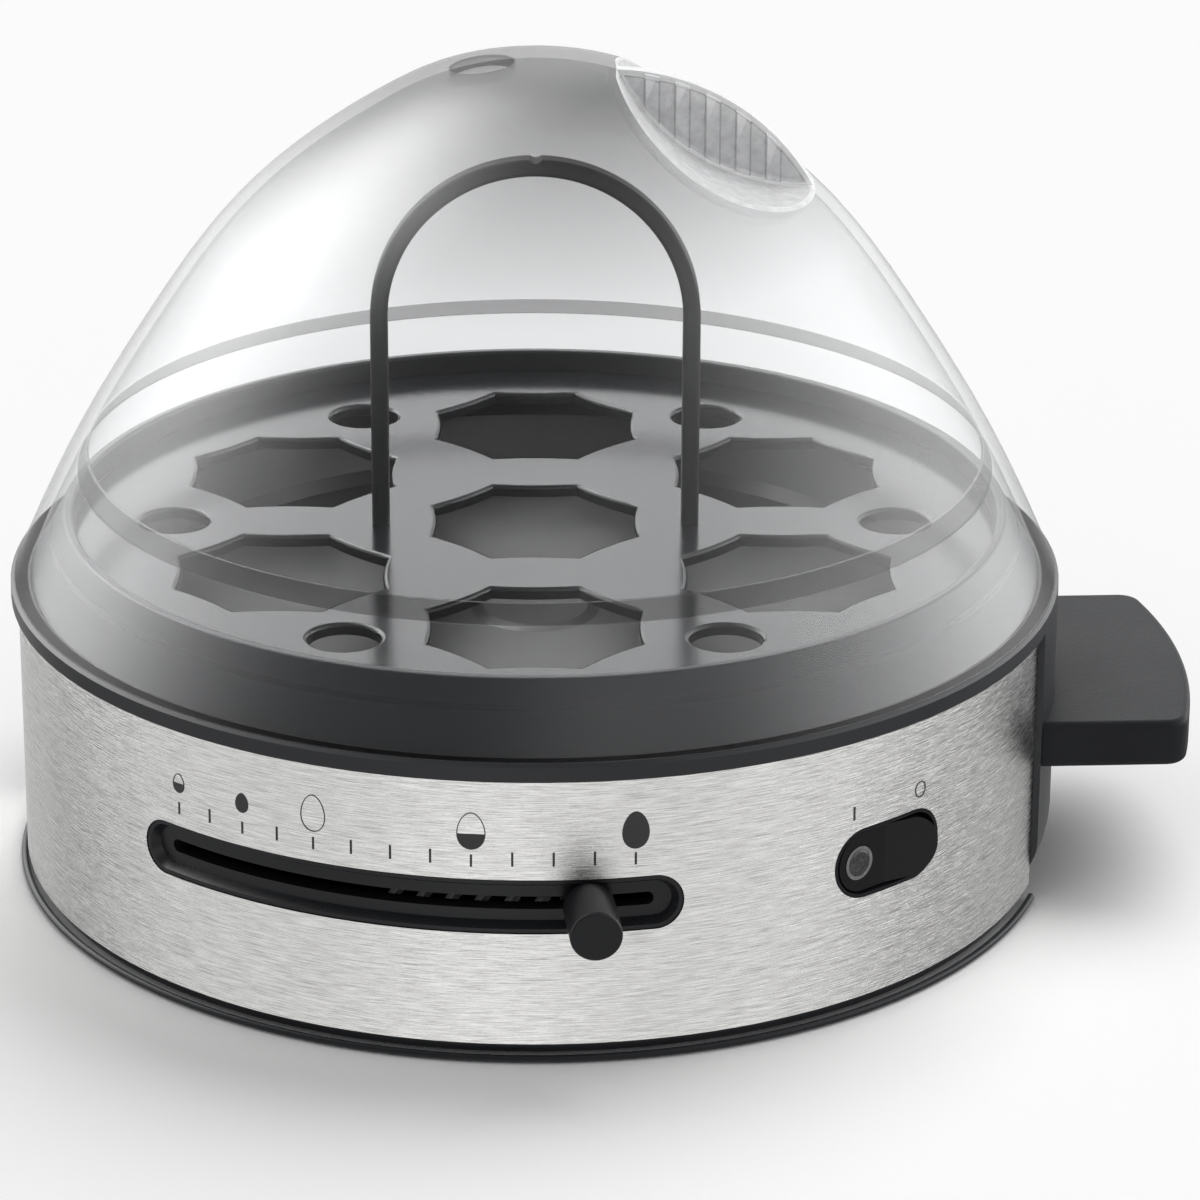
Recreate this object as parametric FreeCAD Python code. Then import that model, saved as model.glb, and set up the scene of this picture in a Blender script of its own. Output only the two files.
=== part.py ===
import FreeCAD, Part
import math
import os

V = FreeCAD.Vector
ORIGIN = V(0, 0, 0)
UP = V(0, 0, 1)
TURN = 360.0
HALF_TURN = 180.0
QUARTER = 90.0

# All lengths are millimetres. The origin is on the upright centre line, on the
# table. The middle of the slider slot faces -Y. An azimuth is counted from -Y
# towards +X, and r is the distance from the centre line.

# Clearances that several pieces share.
fit = 0.15              # between a fixed piece and the opening it sits in
run_fit = 0.06          # radial play of a turning pin in its bore
move_gap = 0.35         # between pieces that move past each other
overrun = 1.0           # how far a cutter reaches past what it cuts

# Moulded housing.
base_r = 90.0           # outer radius of the housing
bottom_z = 1.2          # its underside above the table
deck_z = 52.2           # its top deck, which carries the tray and the lid
shell_wall = 2.5
back_round = 10.0       # rounding of the bottom edge behind the steel band
ring_edge = 0.5         # broken edge of the top ring
ring_h = 3.0            # black ring between the band and the deck
skirt_inset = 0.5       # black foot edge, set back from the seat of the band
step_overlap = 2.6      # arc of thick wall where the front and rear walls meet

# Steel band round the front.
band_step = 1.2         # the band's face lies this far inside base_r
band_t = 0.6
band_low_z = 3.1
band_half_deg = 87.2
band_seat_gap = 0.1

# Slider slot and its channel.
slot_h = 9.4
slot_len = 94.5
groove_h = 2.2
groove_end_gap = 4.65   # the groove ends this far inside the slot
channel_rim = 0.65      # width of the channel's rim at the front
channel_inset = 0.2     # rim set back from the face of the band
channel_dish = 1.6      # depth of the dished front
dish_floor_half = 3.0   # half height of the dish's floor
flange_rise = 3.0       # flanges inside the wall reach this far past an opening
channel_flange_t = 1.5

# Slider knob, lever and the regulator's spindle.
knob_r = 4.2
knob_proud = 11.5       # the peg ends this far past the band
knob_gap = 0.4          # peg clear of the band's face
knob_edge = 0.5
neck_r = 2.2
tongue_t = 1.5
tongue_w = 3.0
tongue_in_knob = 6.0
knob_rest_share = 0.7656    # where the knob rests, as a share of the way to the groove's end
lever_w = 8.0
lever_t = 3.0
lever_end_gap = 1.2     # lever's shoulder clear of the channel's flange
hub_r = 7.5
hub_below = 4.2         # hub reaches this far below the lever's mid height
hub_above = 2.3
hub_clear = 0.4         # hub clear of the regulator's collar
spindle_r = 3.0
spindle_flat = 0.8      # depth of the flat that drives the lever

# Rocker switch.
switch_deg = 55.4
switch_drop = 0.2       # the switch sits this far below the slot's middle
switch_len = 23.2
switch_h = 12.3
frame_wall = 0.5
pivot_in = 4.7          # the rocker's pin lies this far behind the band's face
rocker_end_gap = 0.85   # rocker's ends clear of the frame
rocker_deep = 4.1       # from the pin to the middle of the rocker's face
rocker_clear = 0.38     # rocker's back clear of the switch's body at full tilt
rocker_rise = 1.0       # its ends stand this far past its middle
rocker_tilt_deg = 12.0  # whole travel
rocker_side = 1.0       # foot of its end faces past the pivot
rocker_back = 1.7
rocker_back_half = 4.0
pin_r = 1.2
pin_len = 2.4           # length of the pin in the frame
lens_r = 2.2
lens_t = 1.6
lens_proud = 0.3
lens_round_share = 0.8  # rounding of the lens's front edge, as a share of lens_proud
lens_ring_w = 0.7
lens_ring_proud = 0.15
lens_x = 5.9            # lens from the middle of the rocker
body_len = 26.0
body_h = 16.0
body_depth = 15.0
blade_w = 4.8
blade_t = 0.8
blade_len = 6.0
blade_pitch = 8.0
blade_count = 3

# Bottom cover, posts, screws and feet.
opening_inset = 13.7    # from the outside of the housing to its bottom opening
cover_t = 2.0
post_inset = 5.8        # from the opening's edge to the middle of a post
post_r = 4.0
post_over = 5.2         # posts stand this far above their screws
post_degs = (38.0, 142.0, 218.0, 322.0)
web_t = 2.5
screw_r = 1.45
screw_len = 12.0
screw_head_r = 2.9
screw_head_h = 1.6
screw_hole_r = 1.5
socket_r = 1.2
socket_depth = 0.9
foot_r = 6.0
foot_inset = 16.3       # from the opening's edge to the middle of a foot
foot_degs = (45.0, 135.0, 225.0, 315.0)
foot_edge = 0.4
foot_stud_r = 2.0
foot_bulb_r = 2.6
foot_bulb_h = 1.5
cover_slots = 7
cover_slot_len = 22.0
cover_slot_w = 2.4
cover_slot_pitch = 5.0
cover_slots_inset = 38.3    # from the opening's edge to the middle of the air slots

# Heating pan and what hangs under it.
pan_lip_inset = 10.0    # from the outside of the housing to the pan's lip
pan_lip_w = 5.6
pan_taper = 3.4         # the wall leans in by this much from rim to floor
pan_depth = 9.2
pan_t = 1.2
pan_lip_t = 0.8
pan_knee = 2.0          # corner of the floor
pan_boss_r = 9.0        # raised middle that helps the water run out
pan_boss_h = 0.6
pan_clear = 0.7         # pan's outside clear of the hole in the deck
seal_t = 0.8
seal_inset = 0.5
ledge_t = 2.5
element_clear = 3.85    # element clear of the nut on the clip's stud
element_r = 3.25
element_flat = 0.4
element_gap_deg = 40.0
elbow_r = 9.0
leg_drop = 15.8         # the element's ends reach this far below the pan
terminal_r = 1.3
terminal_len = 6.0
stud_r = 2.0
stud_gap = 6.1          # between the regulator and the nuts on the studs
stud_below = 4.6        # studs reach this far below the bracket
nut_r = 3.9
nut_h = 2.6
bracket_w = 16.0
bracket_t = 1.5
leg_gap = 0.6           # bracket's upright legs stand this far behind the deck's hole
bracket_foot_len = 6.2
bracket_edge = 5.0
boss_r = 3.0
boss_h = 3.2
bracket_screw_len = 4.6
regulator_r = 16.0
regulator_h = 7.6
regulator_edge = 1.0
collar_r = 5.0
collar_below = 2.8
collar_nut_r = 8.0
collar_nut_h = 2.0
spindle_in = 6.0        # how far the spindle reaches into the regulator
cutout_r = 8.0
cutout_gap = 1.6        # between the regulator and the cut-out's flange
cutout_h = 6.6
cutout_flange_r = 9.4
cutout_flange_h = 1.2
clip_t = 1.0
clip_w = 10.0
clip_stud_gap = 2.1     # between the cut-out and the nut on the clip's stud
clip_reach = 7.0        # the clip reaches this far past the cut-out's middle
clip_stud_below = 4.0

# Small pieces on the bottom cover.
buzzer_r = 12.0
buzzer_h = 9.0
buzzer_hole_r = 1.5
buzzer_inset = 30.3     # from the opening's edge to the middle of the buzzer
buzzer_deg = 248.0
buzzer_tab = 4.0
block_len = 34.0
block_depth = 14.0
block_h = 12.0
block_back_gap = 9.5    # between the block and the cable inlet
block_ways = 3
block_pitch = 10.0
block_bore_r = 1.3
block_port_r = 2.6
block_port_depth = 5.0

# Cable inlet at the back.
gland_clear = 0.8       # its cap stands this far above the rounded edge
gland_r = 6.0
gland_proud = 3.0
gland_cap_r = 9.0
gland_edge = 0.8
gland_bore_r = 3.4
gland_inside = 7.0
gland_nut_r = 9.0
gland_nut_h = 3.0

# Side handle.
handle_deg = 107.5
handle_w = 60.0
handle_out = 23.3       # the grip reaches this far past the housing
handle_top_z = 32.3
handle_t = 8.2
handle_corner = 4.0
handle_edge = 1.2
handle_tongue_w = 34.0
handle_tongue_h = 5.0
handle_tongue_in = 1.6  # tongue reaches this far inside the wall
handle_screw_pitch = 22.0
handle_plate_t = 1.5
handle_plate_w = 40.0
handle_plate_h = 9.0
handle_screw_len = 9.0
handle_screw_r = 1.5
handle_head_r = 2.8
handle_head_h = 1.5

# The tray, its arch and the lid are turned together to line up with the handle.
top_turn_deg = 15.0

# Egg tray.
tray_gap = 0.42         # between the tray's foot and the lid
tray_taper = 5.8        # the skirt leans in by this much from foot to rim
tray_h = 10.9
tray_depth = 3.9        # from the rim down to the floor
tray_t = 2.0
tray_edge = 0.6
egg_web = 11.0          # between the middle hole and its neighbours
egg_margin = 10.9       # between the outer holes and the rim
egg_waist = 1.1         # the sides of a hole lie this far inside its points
egg_points = 8
egg_count = 6
egg_bevel = 0.9
small_hole_r = 6.0
small_out = 13.0        # small holes lie this far outside the ring of egg holes

# Carrying arch.
arch_clear = 9.0        # from the middle egg hole to the arch's outside
arch_under_lid = 16.7   # the arch's top lies this far below the lid's
arch_bar = 3.0
arch_depth = 4.2
arch_edge = 0.9
arch_notch_r = 1.2
arch_tongue = 1.8
arch_tongue_depth = 2.8
arch_hook = 0.8
arch_hook_h = 1.0

# Clear lid.
lid_inset = 0.7         # the lid's foot lies this far inside the housing
lid_h = 88.7
lid_wall = 2.0
lid_foot_lean_deg = 23.5
lid_points_share = ((1, 0), (0.885, 0.243), (0.741, 0.4825), (0.558, 0.725), (0.302, 0.922), (0, 1))
bead_rise = 18.7        # the bead lies this far above the deck
bead_h = 3.2
bead_t = 0.8
vent_r = 5.45
vent_x = -8.9
grip_near_r = 13.5      # tips of the leaf-shaped fin
grip_span = 33.0        # from the near tip to the far one, measured level
grip_sink = 5.6         # how deep the finger hollow dips under the line of the tips
grip_crown = 5.2        # how high the fin arches over it
grip_sweep_r = 149.0    # the hollow's floor rises outwards on this radius
grip_sweep_deg = 15.0
grip_above = 14.0
fin_t = 2.2
rib_count = 5
rib_in = 5.9            # the first rib lies this far from the near tip
rib_pitch = 5.1
rib_w = 2.5
rib_proud = 0.8
rib_below_crown = 0.7

# Leads inside the base.
lead_r = 0.9
lead_bend = 5.0
lead_bend_share = 0.45  # a bend takes no more than this share of the run beside it
lead_drop = 6.0         # how far the lead of the cut-out drops below the element's end
lead_out = 12.0         # how far that lead stands off the cut-out
link_x = 6.0            # link from the regulator to the cut-out, from the middle

# Shares for halfway points and for searches by halving.
mid_share = 0.5
halvings = 50

# Heights and radii that follow from the sizes above.
band_r = base_r - band_step
band_in_r = band_r - band_t
band_top_z = deck_z - ring_h
seat_r = band_in_r - band_seat_gap
skirt_r = seat_r - skirt_inset
front_in_r = seat_r - shell_wall
rear_in_r = base_r - shell_wall
deck_under_z = deck_z - shell_wall
ledge_z = deck_z - pan_lip_t - seal_t
cover_top_z = bottom_z + cover_t
opening_r = base_r - opening_inset
post_ring_r = opening_r - post_inset
post_top_z = bottom_z + screw_head_h + screw_len + post_over
foot_ring_r = opening_r - foot_inset
cover_slot_y = cover_slots_inset - opening_r
buzzer_ring_r = opening_r - buzzer_inset

pan_lip_r = base_r - pan_lip_inset
pan_top_r = pan_lip_r - pan_lip_w
pan_floor_r = pan_top_r - pan_taper
pan_floor_z = deck_z - pan_depth
pan_under_z = pan_floor_z - pan_t
deck_hole_r = pan_top_r + pan_t + pan_clear
seal_in_r = deck_hole_r + seal_inset
bracket_leg_r = deck_hole_r + leg_gap + bracket_t
bracket_top_z = pan_under_z - regulator_h
bracket_low_z = bracket_top_z - bracket_t
stud_ring_r = regulator_r + stud_gap + nut_r
cutout_ring_r = regulator_r + cutout_gap + cutout_flange_r
clip_stud_r = cutout_ring_r + cutout_r + clip_stud_gap + nut_r
clip_inner_r = cutout_ring_r - clip_reach
element_ring_r = clip_stud_r + nut_r + element_clear + element_r
leg_end_z = pan_under_z - leg_drop

slot_z = bracket_low_z - collar_below - hub_clear - hub_above
slot_end_deg = math.degrees((slot_len - slot_h) / 2 / band_r)
groove_end_deg = slot_end_deg - math.degrees((groove_end_gap - (slot_h - groove_h) / 2) / band_r)
knob_rest_deg = knob_rest_share * groove_end_deg
knob_end_r = band_r + knob_proud
switch_z = slot_z - switch_drop
pivot_r = band_r - pivot_in
rocker_mid_r = pivot_r + rocker_deep
rocker_half = switch_len / 2 - fit - frame_wall - rocker_end_gap
rocker_swing = rocker_back_half * math.tan(math.radians(rocker_tilt_deg / 2))
frame_back_r = pivot_r - rocker_back - rocker_swing - rocker_clear

gland_z = bottom_z + back_round + gland_cap_r + gland_clear
block_y = rear_in_r - gland_inside - block_back_gap - block_depth / 2
handle_reach_r = base_r + handle_out

lid_foot_r = base_r - lid_inset
lid_top_z = deck_z + lid_h
bead_low_z = deck_z + bead_rise
grip_far_r = grip_near_r + grip_span
rib_first_x = grip_near_r + rib_in
tray_foot_r = lid_foot_r - lid_wall / math.cos(math.radians(lid_foot_lean_deg)) - tray_gap
tray_rim_r = tray_foot_r - tray_taper
tray_rim_z = deck_z + tray_h
tray_floor_z = tray_rim_z - tray_depth
egg_hole_r = (tray_rim_r - tray_t - egg_web - egg_margin) / 3
egg_hole_waist_r = egg_hole_r - egg_waist
egg_ring_r = 2 * egg_hole_r + egg_web
small_ring_r = egg_ring_r + small_out
arch_r = egg_hole_r + arch_clear
arch_top_z = lid_top_z - arch_under_lid


def polar(r, deg, z):
    a = math.radians(deg)
    return V(r * math.sin(a), -r * math.cos(a), z)


def turned(shape, deg):
    copy = shape.copy()
    copy.rotate(ORIGIN, UP, deg)
    return copy


def disc(r, z0, z1, x=0.0, y=0.0):
    return Part.makeCylinder(r, z1 - z0, V(x, y, z0))


def tube(r_out, r_in, z0, z1, x=0.0, y=0.0):
    return disc(r_out, z0, z1, x, y).cut(disc(r_in, z0 - overrun, z1 + overrun, x, y))


def block(x0, x1, y0, y1, z0, z1):
    return Part.makeBox(x1 - x0, y1 - y0, z1 - z0, V(x0, y0, z0))


def rod_out(r0, r1, radius, z, x=0.0):
    # A round bar that points outwards at azimuth 0, from r0 to r1.
    return Part.makeCylinder(radius, r1 - r0, V(x, -r0, z), V(0, -1, 0))


def spun(points, start_deg=0.0, sweep_deg=TURN):
    # Turns an outline of (r, z) points or edges about the centre line.
    wire = outline(points)
    face = Part.Face(wire)
    solid = face.revolve(ORIGIN, UP, sweep_deg)
    return turned(solid, start_deg)


def outline(points):
    # Points are (r, z) pairs in the plane that faces azimuth 0.
    corners = [V(0, -r, z) for r, z in points]
    return Part.makePolygon(corners + corners[:1])


def fused(shapes):
    first = shapes[0]
    if len(shapes) == 1:
        return first
    return first.multiFuse(shapes[1:]).removeSplitter()


def curved_slot(r_in, r_out, half_h, end_deg, z):
    # A slot with round ends that follows the wall, centred on azimuth 0.
    section = [(r_in, z - half_h), (r_out, z - half_h), (r_out, z + half_h), (r_in, z + half_h)]
    parts = [spun(section, -end_deg, 2 * end_deg)]
    for side in (-1, 1):
        parts.append(turned(rod_out(r_in, r_out, half_h, z), side * end_deg))
    return fused(parts).common(disc(r_out, z - half_h, z + half_h))


def stadium(length, height, y_out, y_in, z):
    # A flat-sided slot form that points outwards at azimuth 0.
    half = (length - height) / 2
    parts = [block(-half, half, -y_out, -y_in, z - height / 2, z + height / 2)]
    for side in (-1, 1):
        parts.append(rod_out(y_in, y_out, height / 2, z, side * half))
    return fused(parts)


def hexagon(radius, z0, z1, x=0.0, y=0.0):
    sides = 6
    corners = []
    for k in range(sides):
        a = math.radians(k * TURN / sides)
        corners.append(V(x + radius * math.cos(a), y + radius * math.sin(a), z0))
    return Part.Face(Part.makePolygon(corners + corners[:1])).extrude(V(0, 0, z1 - z0))


def rounded(shape, radius, picks):
    edges = [e for e in shape.Edges if picks(e)]
    return shape.makeFillet(radius, edges)


def flat_at(z):
    def picks(edge):
        box = edge.BoundBox
        return abs(box.ZMin - z) < fit and abs(box.ZMax - z) < fit
    return picks


def screw_down(x, y, seat_z, length, radius, head_r, head_h):
    # A screw whose head seats on seat_z from below and whose shank points up.
    shank = disc(radius, seat_z, seat_z + length, x, y)
    head = disc(head_r, seat_z - head_h, seat_z, x, y)
    drive = hexagon(socket_r, seat_z - head_h, seat_z - head_h + socket_depth, x, y)
    return shank.fuse(head).cut(drive).removeSplitter()


# HOUSING: one black moulding. Its front wall is set back for the steel band,
# its rear wall is full size with a rounded bottom edge, and its deck has a
# ledge for the heating pan.
def housing_outside():
    front = [(0, bottom_z), (skirt_r, bottom_z), (skirt_r, band_low_z), (seat_r, band_low_z),
             (seat_r, band_top_z), (base_r, band_top_z), (base_r, deck_z - ring_edge),
             (base_r - ring_edge, deck_z), (0, deck_z)]
    front_body = spun(front, -band_half_deg, 2 * band_half_deg)
    rear_body = rear_round_body(base_r, bottom_z, deck_z, back_round, ring_edge)
    return fused([front_body, rear_body])


def rear_round_body(radius, low_z, high_z, round_r, edge):
    # Everything behind the band, with a quarter round at the bottom.
    mid = math.cos(math.radians(QUARTER / 2)) * round_r
    centre_r = radius - round_r
    centre_z = low_z + round_r
    arc = Part.Arc(V(0, -centre_r, low_z), V(0, -(centre_r + mid), centre_z - mid),
                   V(0, -radius, centre_z)).toShape()
    corners = [V(0, -radius, centre_z), V(0, -radius, high_z - edge), V(0, -(radius - edge), high_z),
               V(0, 0, high_z), V(0, 0, low_z), V(0, -centre_r, low_z)]
    if not edge:
        corners.pop(1)
    lines = [Part.LineSegment(a, b).toShape() for a, b in zip(corners, corners[1:])]
    face = Part.Face(Part.Wire([arc] + lines))
    solid = face.revolve(ORIGIN, UP, TURN - 2 * band_half_deg)
    return turned(solid, band_half_deg)


def make_housing():
    outside = housing_outside()
    step_deg = math.degrees(step_overlap / base_r)
    front_hollow = spun([(0, bottom_z + shell_wall), (front_in_r, bottom_z + shell_wall),
                         (front_in_r, deck_under_z), (0, deck_under_z)],
                        -band_half_deg - step_deg, 2 * (band_half_deg + step_deg))
    rear_hollow = rear_round_body(rear_in_r, bottom_z + shell_wall, deck_under_z,
                                  back_round - shell_wall, 0)
    keep = spun([(0, bottom_z), (base_r, bottom_z), (base_r, deck_z), (0, deck_z)],
                -band_half_deg - step_deg, 2 * (band_half_deg + step_deg))
    body = outside.cut(front_hollow).cut(rear_hollow.cut(keep))

    # Ledge round the pan: the deck is deeper there.
    ledge_out_r = pan_lip_r + fit + shell_wall
    body = body.fuse(tube(ledge_out_r, deck_hole_r, ledge_z - ledge_t, deck_z))
    body = body.cut(disc(pan_lip_r + fit, ledge_z, deck_z + overrun))
    body = body.cut(disc(deck_hole_r, ledge_z - ledge_t - overrun, deck_z + overrun))

    # Bottom opening, then the four posts that take the cover's screws.
    body = body.cut(disc(opening_r, bottom_z - overrun, bottom_z + shell_wall + overrun))
    posts = []
    for deg in post_degs:
        at = polar(post_ring_r, deg, 0)
        posts.append(disc(post_r, cover_top_z, post_top_z, at.x, at.y))
        web = block(-web_t / 2, web_t / 2, -base_r, -post_ring_r, bottom_z + shell_wall, post_top_z)
        posts.append(turned(web, deg))
    body = body.fuse(fused(posts).common(outside))
    for deg in post_degs:
        at = polar(post_ring_r, deg, 0)
        bore = disc(post_r, bottom_z - overrun, cover_top_z, at.x, at.y)
        hole = disc(screw_hole_r, bottom_z, screw_seat_z() + screw_len + overrun, at.x, at.y)
        body = body.cut(bore).cut(hole)

    # Bosses under the deck for the regulator's bracket.
    for side in (-1, 1):
        x = side * bracket_screw_x()
        boss = disc(boss_r, bracket_foot_z(), ledge_z - ledge_t + overrun, x)
        body = body.fuse(boss)
    for side in (-1, 1):
        x = side * bracket_screw_x()
        body = body.cut(disc(screw_hole_r, bracket_foot_z() - overrun,
                             bracket_foot_z() + bracket_screw_len - bracket_t + fit, x))

    # Openings for the slider's channel, the switch, the handle and the cable inlet.
    wall_from = front_in_r - flange_rise
    wall_to = base_r + overrun
    body = body.cut(curved_slot(wall_from, wall_to, slot_h / 2, slot_end_deg, slot_z))
    body = body.cut(turned(stadium(switch_len, switch_h, wall_to, frame_back_r, switch_z), switch_deg))
    tongue = block(-handle_tongue_w / 2 - fit, handle_tongue_w / 2 + fit, -wall_to, -wall_from,
                   handle_mid_z() - handle_tongue_h / 2 - fit, handle_mid_z() + handle_tongue_h / 2 + fit)
    body = body.cut(turned(tongue, handle_deg))
    body = body.cut(turned(rod_out(wall_from, wall_to, gland_r + fit, gland_z), HALF_TURN))
    return body.removeSplitter()


def screw_seat_z():
    # Cover screws seat at the top of the cover's counterbores.
    return bottom_z + screw_head_h


def bracket_foot_z():
    return ledge_z - ledge_t - boss_h


def bracket_screw_x():
    return bracket_leg_r + bracket_foot_len - boss_r


def handle_mid_z():
    return handle_top_z - handle_t / 2


# STEEL BAND: brushed sheet wrapped round the front.
def make_steel_band():
    section = [(band_in_r, band_low_z), (band_r, band_low_z), (band_r, band_top_z - band_seat_gap),
               (band_in_r, band_top_z - band_seat_gap)]
    half_deg = band_half_deg - math.degrees(fit / band_r)
    band = spun(section, -half_deg, 2 * half_deg)
    band = band.cut(curved_slot(band_in_r - overrun, band_r + overrun, slot_h / 2, slot_end_deg, slot_z))
    hole = stadium(switch_len, switch_h, band_r + overrun, frame_back_r, switch_z)
    return band.cut(turned(hole, switch_deg))


# SLOT CHANNEL: a dished black channel behind the slot, with the groove that
# the slider's tongue runs in, and a flange inside the wall.
def make_slot_channel():
    rim_r = band_r - channel_inset
    half = slot_h / 2 - fit
    body = curved_slot(front_in_r - channel_flange_t, rim_r, half, slot_end_deg, slot_z)
    flange = curved_slot(front_in_r - channel_flange_t, front_in_r, half + flange_rise, slot_end_deg, slot_z)
    body = fused([body, flange])
    rim_half = half - channel_rim
    floor_r = rim_r - channel_dish
    upper = [(floor_r, 0), (rim_r + overrun, 0), (rim_r + overrun, rim_half), (rim_r, rim_half),
             (floor_r, dish_floor_half)]
    lower = [(r, -h) for r, h in upper[:0:-1]]
    section = [(r, slot_z + h) for r, h in upper[1:] + [(floor_r, -dish_floor_half)] + lower[1:-1]]
    dish = [spun(section, -slot_end_deg, 2 * slot_end_deg)]
    end_face = Part.Face(Part.makePolygon([V(0, -r, slot_z + h) for r, h in upper + upper[:1]]))
    end = end_face.revolve(V(0, 0, slot_z), V(0, 1, 0), TURN)
    for side in (-1, 1):
        dish.append(turned(end, side * slot_end_deg))
    for piece in dish:
        body = body.cut(piece)
    groove = curved_slot(front_in_r - channel_flange_t - overrun, rim_r, groove_h / 2, groove_end_deg, slot_z)
    return body.cut(groove)


# SLIDER: the peg, the lever that carries it and the regulator's spindle.
def tongue_end_r():
    return band_r + knob_gap + tongue_in_knob


def make_slider_knob():
    start_r = band_r + knob_gap
    dish_r = band_r - channel_inset - channel_dish + move_gap
    peg = rod_out(start_r, knob_end_r, knob_r, slot_z)
    ends = [e for e in peg.Edges if abs(e.BoundBox.YMin + knob_end_r) < fit and len(e.Vertexes) == 1
            and abs(e.BoundBox.YMax + knob_end_r) < fit]
    peg = peg.makeFillet(knob_edge, ends)
    neck = rod_out(dish_r, start_r + overrun, neck_r, slot_z)
    knob = peg.fuse(neck)
    slot = block(-tongue_w / 2 - run_fit, tongue_w / 2 + run_fit, -tongue_end_r() - run_fit, -dish_r + overrun,
                 slot_z - tongue_t / 2 - run_fit, slot_z + tongue_t / 2 + run_fit)
    return turned(knob.cut(slot).removeSplitter(), knob_rest_deg)


def make_slider_lever():
    shoulder_r = front_in_r - channel_flange_t - lever_end_gap
    low = slot_z - lever_t / 2
    hub = disc(hub_r, slot_z - hub_below, slot_z + hub_above)
    arm = block(-lever_w / 2, lever_w / 2, -shoulder_r, 0, low, low + lever_t)
    rib = block(-tongue_w / 2, tongue_w / 2, -shoulder_r + lever_w, 0, slot_z - hub_below + tongue_t, low)
    tongue = block(-tongue_w / 2, tongue_w / 2, -tongue_end_r(), -shoulder_r + overrun,
                   slot_z - tongue_t / 2, slot_z + tongue_t / 2)
    lever = fused([hub, arm, rib, tongue])
    return turned(lever.cut(spindle_form(run_fit)), knob_rest_deg)


def spindle_form(play):
    # The lower end of the spindle has a flat that drives the lever.
    r = spindle_r + play
    low = slot_z - hub_below
    high = slot_z + hub_above
    end = disc(r, low - overrun, high)
    side = block(-r, r, spindle_r - spindle_flat + play, 2 * r, low - 2 * overrun, high)
    return end.cut(side)


def make_spindle():
    low = slot_z + hub_above
    top = disc(spindle_r, low, bracket_top_z + spindle_in)
    return turned(top.fuse(spindle_form(0)).removeSplitter(), knob_rest_deg)


# SWITCH: an oval frame through the steel, a rocker on an upright pin with a
# small lamp lens at one end, and the switch's body behind.
def make_switch_frame():
    outer_len = switch_len - 2 * fit
    outer_h = switch_h - 2 * fit
    collar = stadium(outer_len, outer_h, base_r, frame_back_r, switch_z)
    collar = collar.common(disc(band_r, bottom_z, deck_z))
    flange = stadium(outer_len + 2 * flange_rise, outer_h + 2 * flange_rise, base_r, frame_back_r, switch_z)
    flange = flange.common(disc(front_in_r, bottom_z, deck_z))
    frame = fused([collar, flange])
    frame = frame.cut(stadium(outer_len - 2 * frame_wall, outer_h - 2 * frame_wall,
                              base_r + overrun, frame_back_r - overrun, switch_z))
    reach = outer_h / 2 - frame_wall + pin_len
    bore = disc(pin_r + run_fit, switch_z - reach - fit, switch_z + reach + fit, 0.0, -pivot_r)
    return turned(frame.cut(bore), switch_deg)


def rocker_height():
    return switch_h - 2 * fit - 2 * frame_wall - 2 * move_gap


def lean_deg():
    return math.degrees(math.atan2(rocker_rise, rocker_half))


def at_switch(shape):
    # From the rocker's level place to its rest, then round to the switch.
    copy = shape.copy()
    copy.rotate(V(0, -pivot_r, 0), UP, -rocker_tilt_deg / 2)
    return turned(copy, switch_deg)


def on_lens(shape):
    # Moves a form that points along -Y from the origin onto the rocker's left face.
    copy = shape.copy()
    copy.rotate(ORIGIN, UP, lean_deg())
    out = rocker_mid_r + rocker_rise * lens_x / rocker_half
    copy.translate(V(-lens_x, -out, switch_z))
    return copy


def make_rocker():
    reach = rocker_mid_r + rocker_rise
    plan = [(-rocker_half, reach), (0, rocker_mid_r), (rocker_half, reach),
            (rocker_half, pivot_r + rocker_side), (rocker_back_half, pivot_r - rocker_back),
            (-rocker_back_half, pivot_r - rocker_back), (-rocker_half, pivot_r + rocker_side)]
    height = rocker_height()
    corners = [V(x, -out, switch_z - height / 2) for x, out in plan]
    body = Part.Face(Part.makePolygon(corners + corners[:1])).extrude(V(0, 0, height))
    body = body.common(stadium(2 * rocker_half, height, reach + overrun, pivot_r - 2 * rocker_back, switch_z))
    pin_reach = switch_h / 2 - fit - frame_wall + pin_len
    body = body.fuse(disc(pin_r, switch_z - pin_reach, switch_z + pin_reach, 0.0, -pivot_r))
    pocket = rod_out(-lens_t, overrun, lens_r + lens_ring_w + run_fit, 0.0)
    return at_switch(body.cut(on_lens(pocket)).removeSplitter())


def make_lens():
    body = rod_out(-lens_t, lens_proud, lens_r, 0.0)
    front = [e for e in body.Edges if len(e.Vertexes) == 1 and abs(e.BoundBox.YMin + lens_proud) < fit / 2
             and abs(e.BoundBox.YMax + lens_proud) < fit / 2]
    return at_switch(on_lens(body.makeFillet(lens_proud * lens_round_share, front)))


def make_lens_ring():
    outer = rod_out(-lens_t, lens_ring_proud, lens_r + lens_ring_w, 0.0)
    inner = rod_out(-lens_t - overrun, lens_ring_proud + overrun, lens_r + run_fit, 0.0)
    return at_switch(on_lens(outer.cut(inner)))


def make_switch_body():
    half = body_len / 2
    body = block(-half, half, -frame_back_r, -frame_back_r + body_depth,
                 switch_z - body_h / 2, switch_z + body_h / 2)
    back = [e for e in body.Edges if abs(e.BoundBox.YMin + frame_back_r - body_depth) < fit]
    return turned(body.makeChamfer(blade_t, back), switch_deg)


def blade_places():
    middle = (blade_count - 1) / 2
    return [(k - middle) * blade_pitch for k in range(blade_count)]


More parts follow.
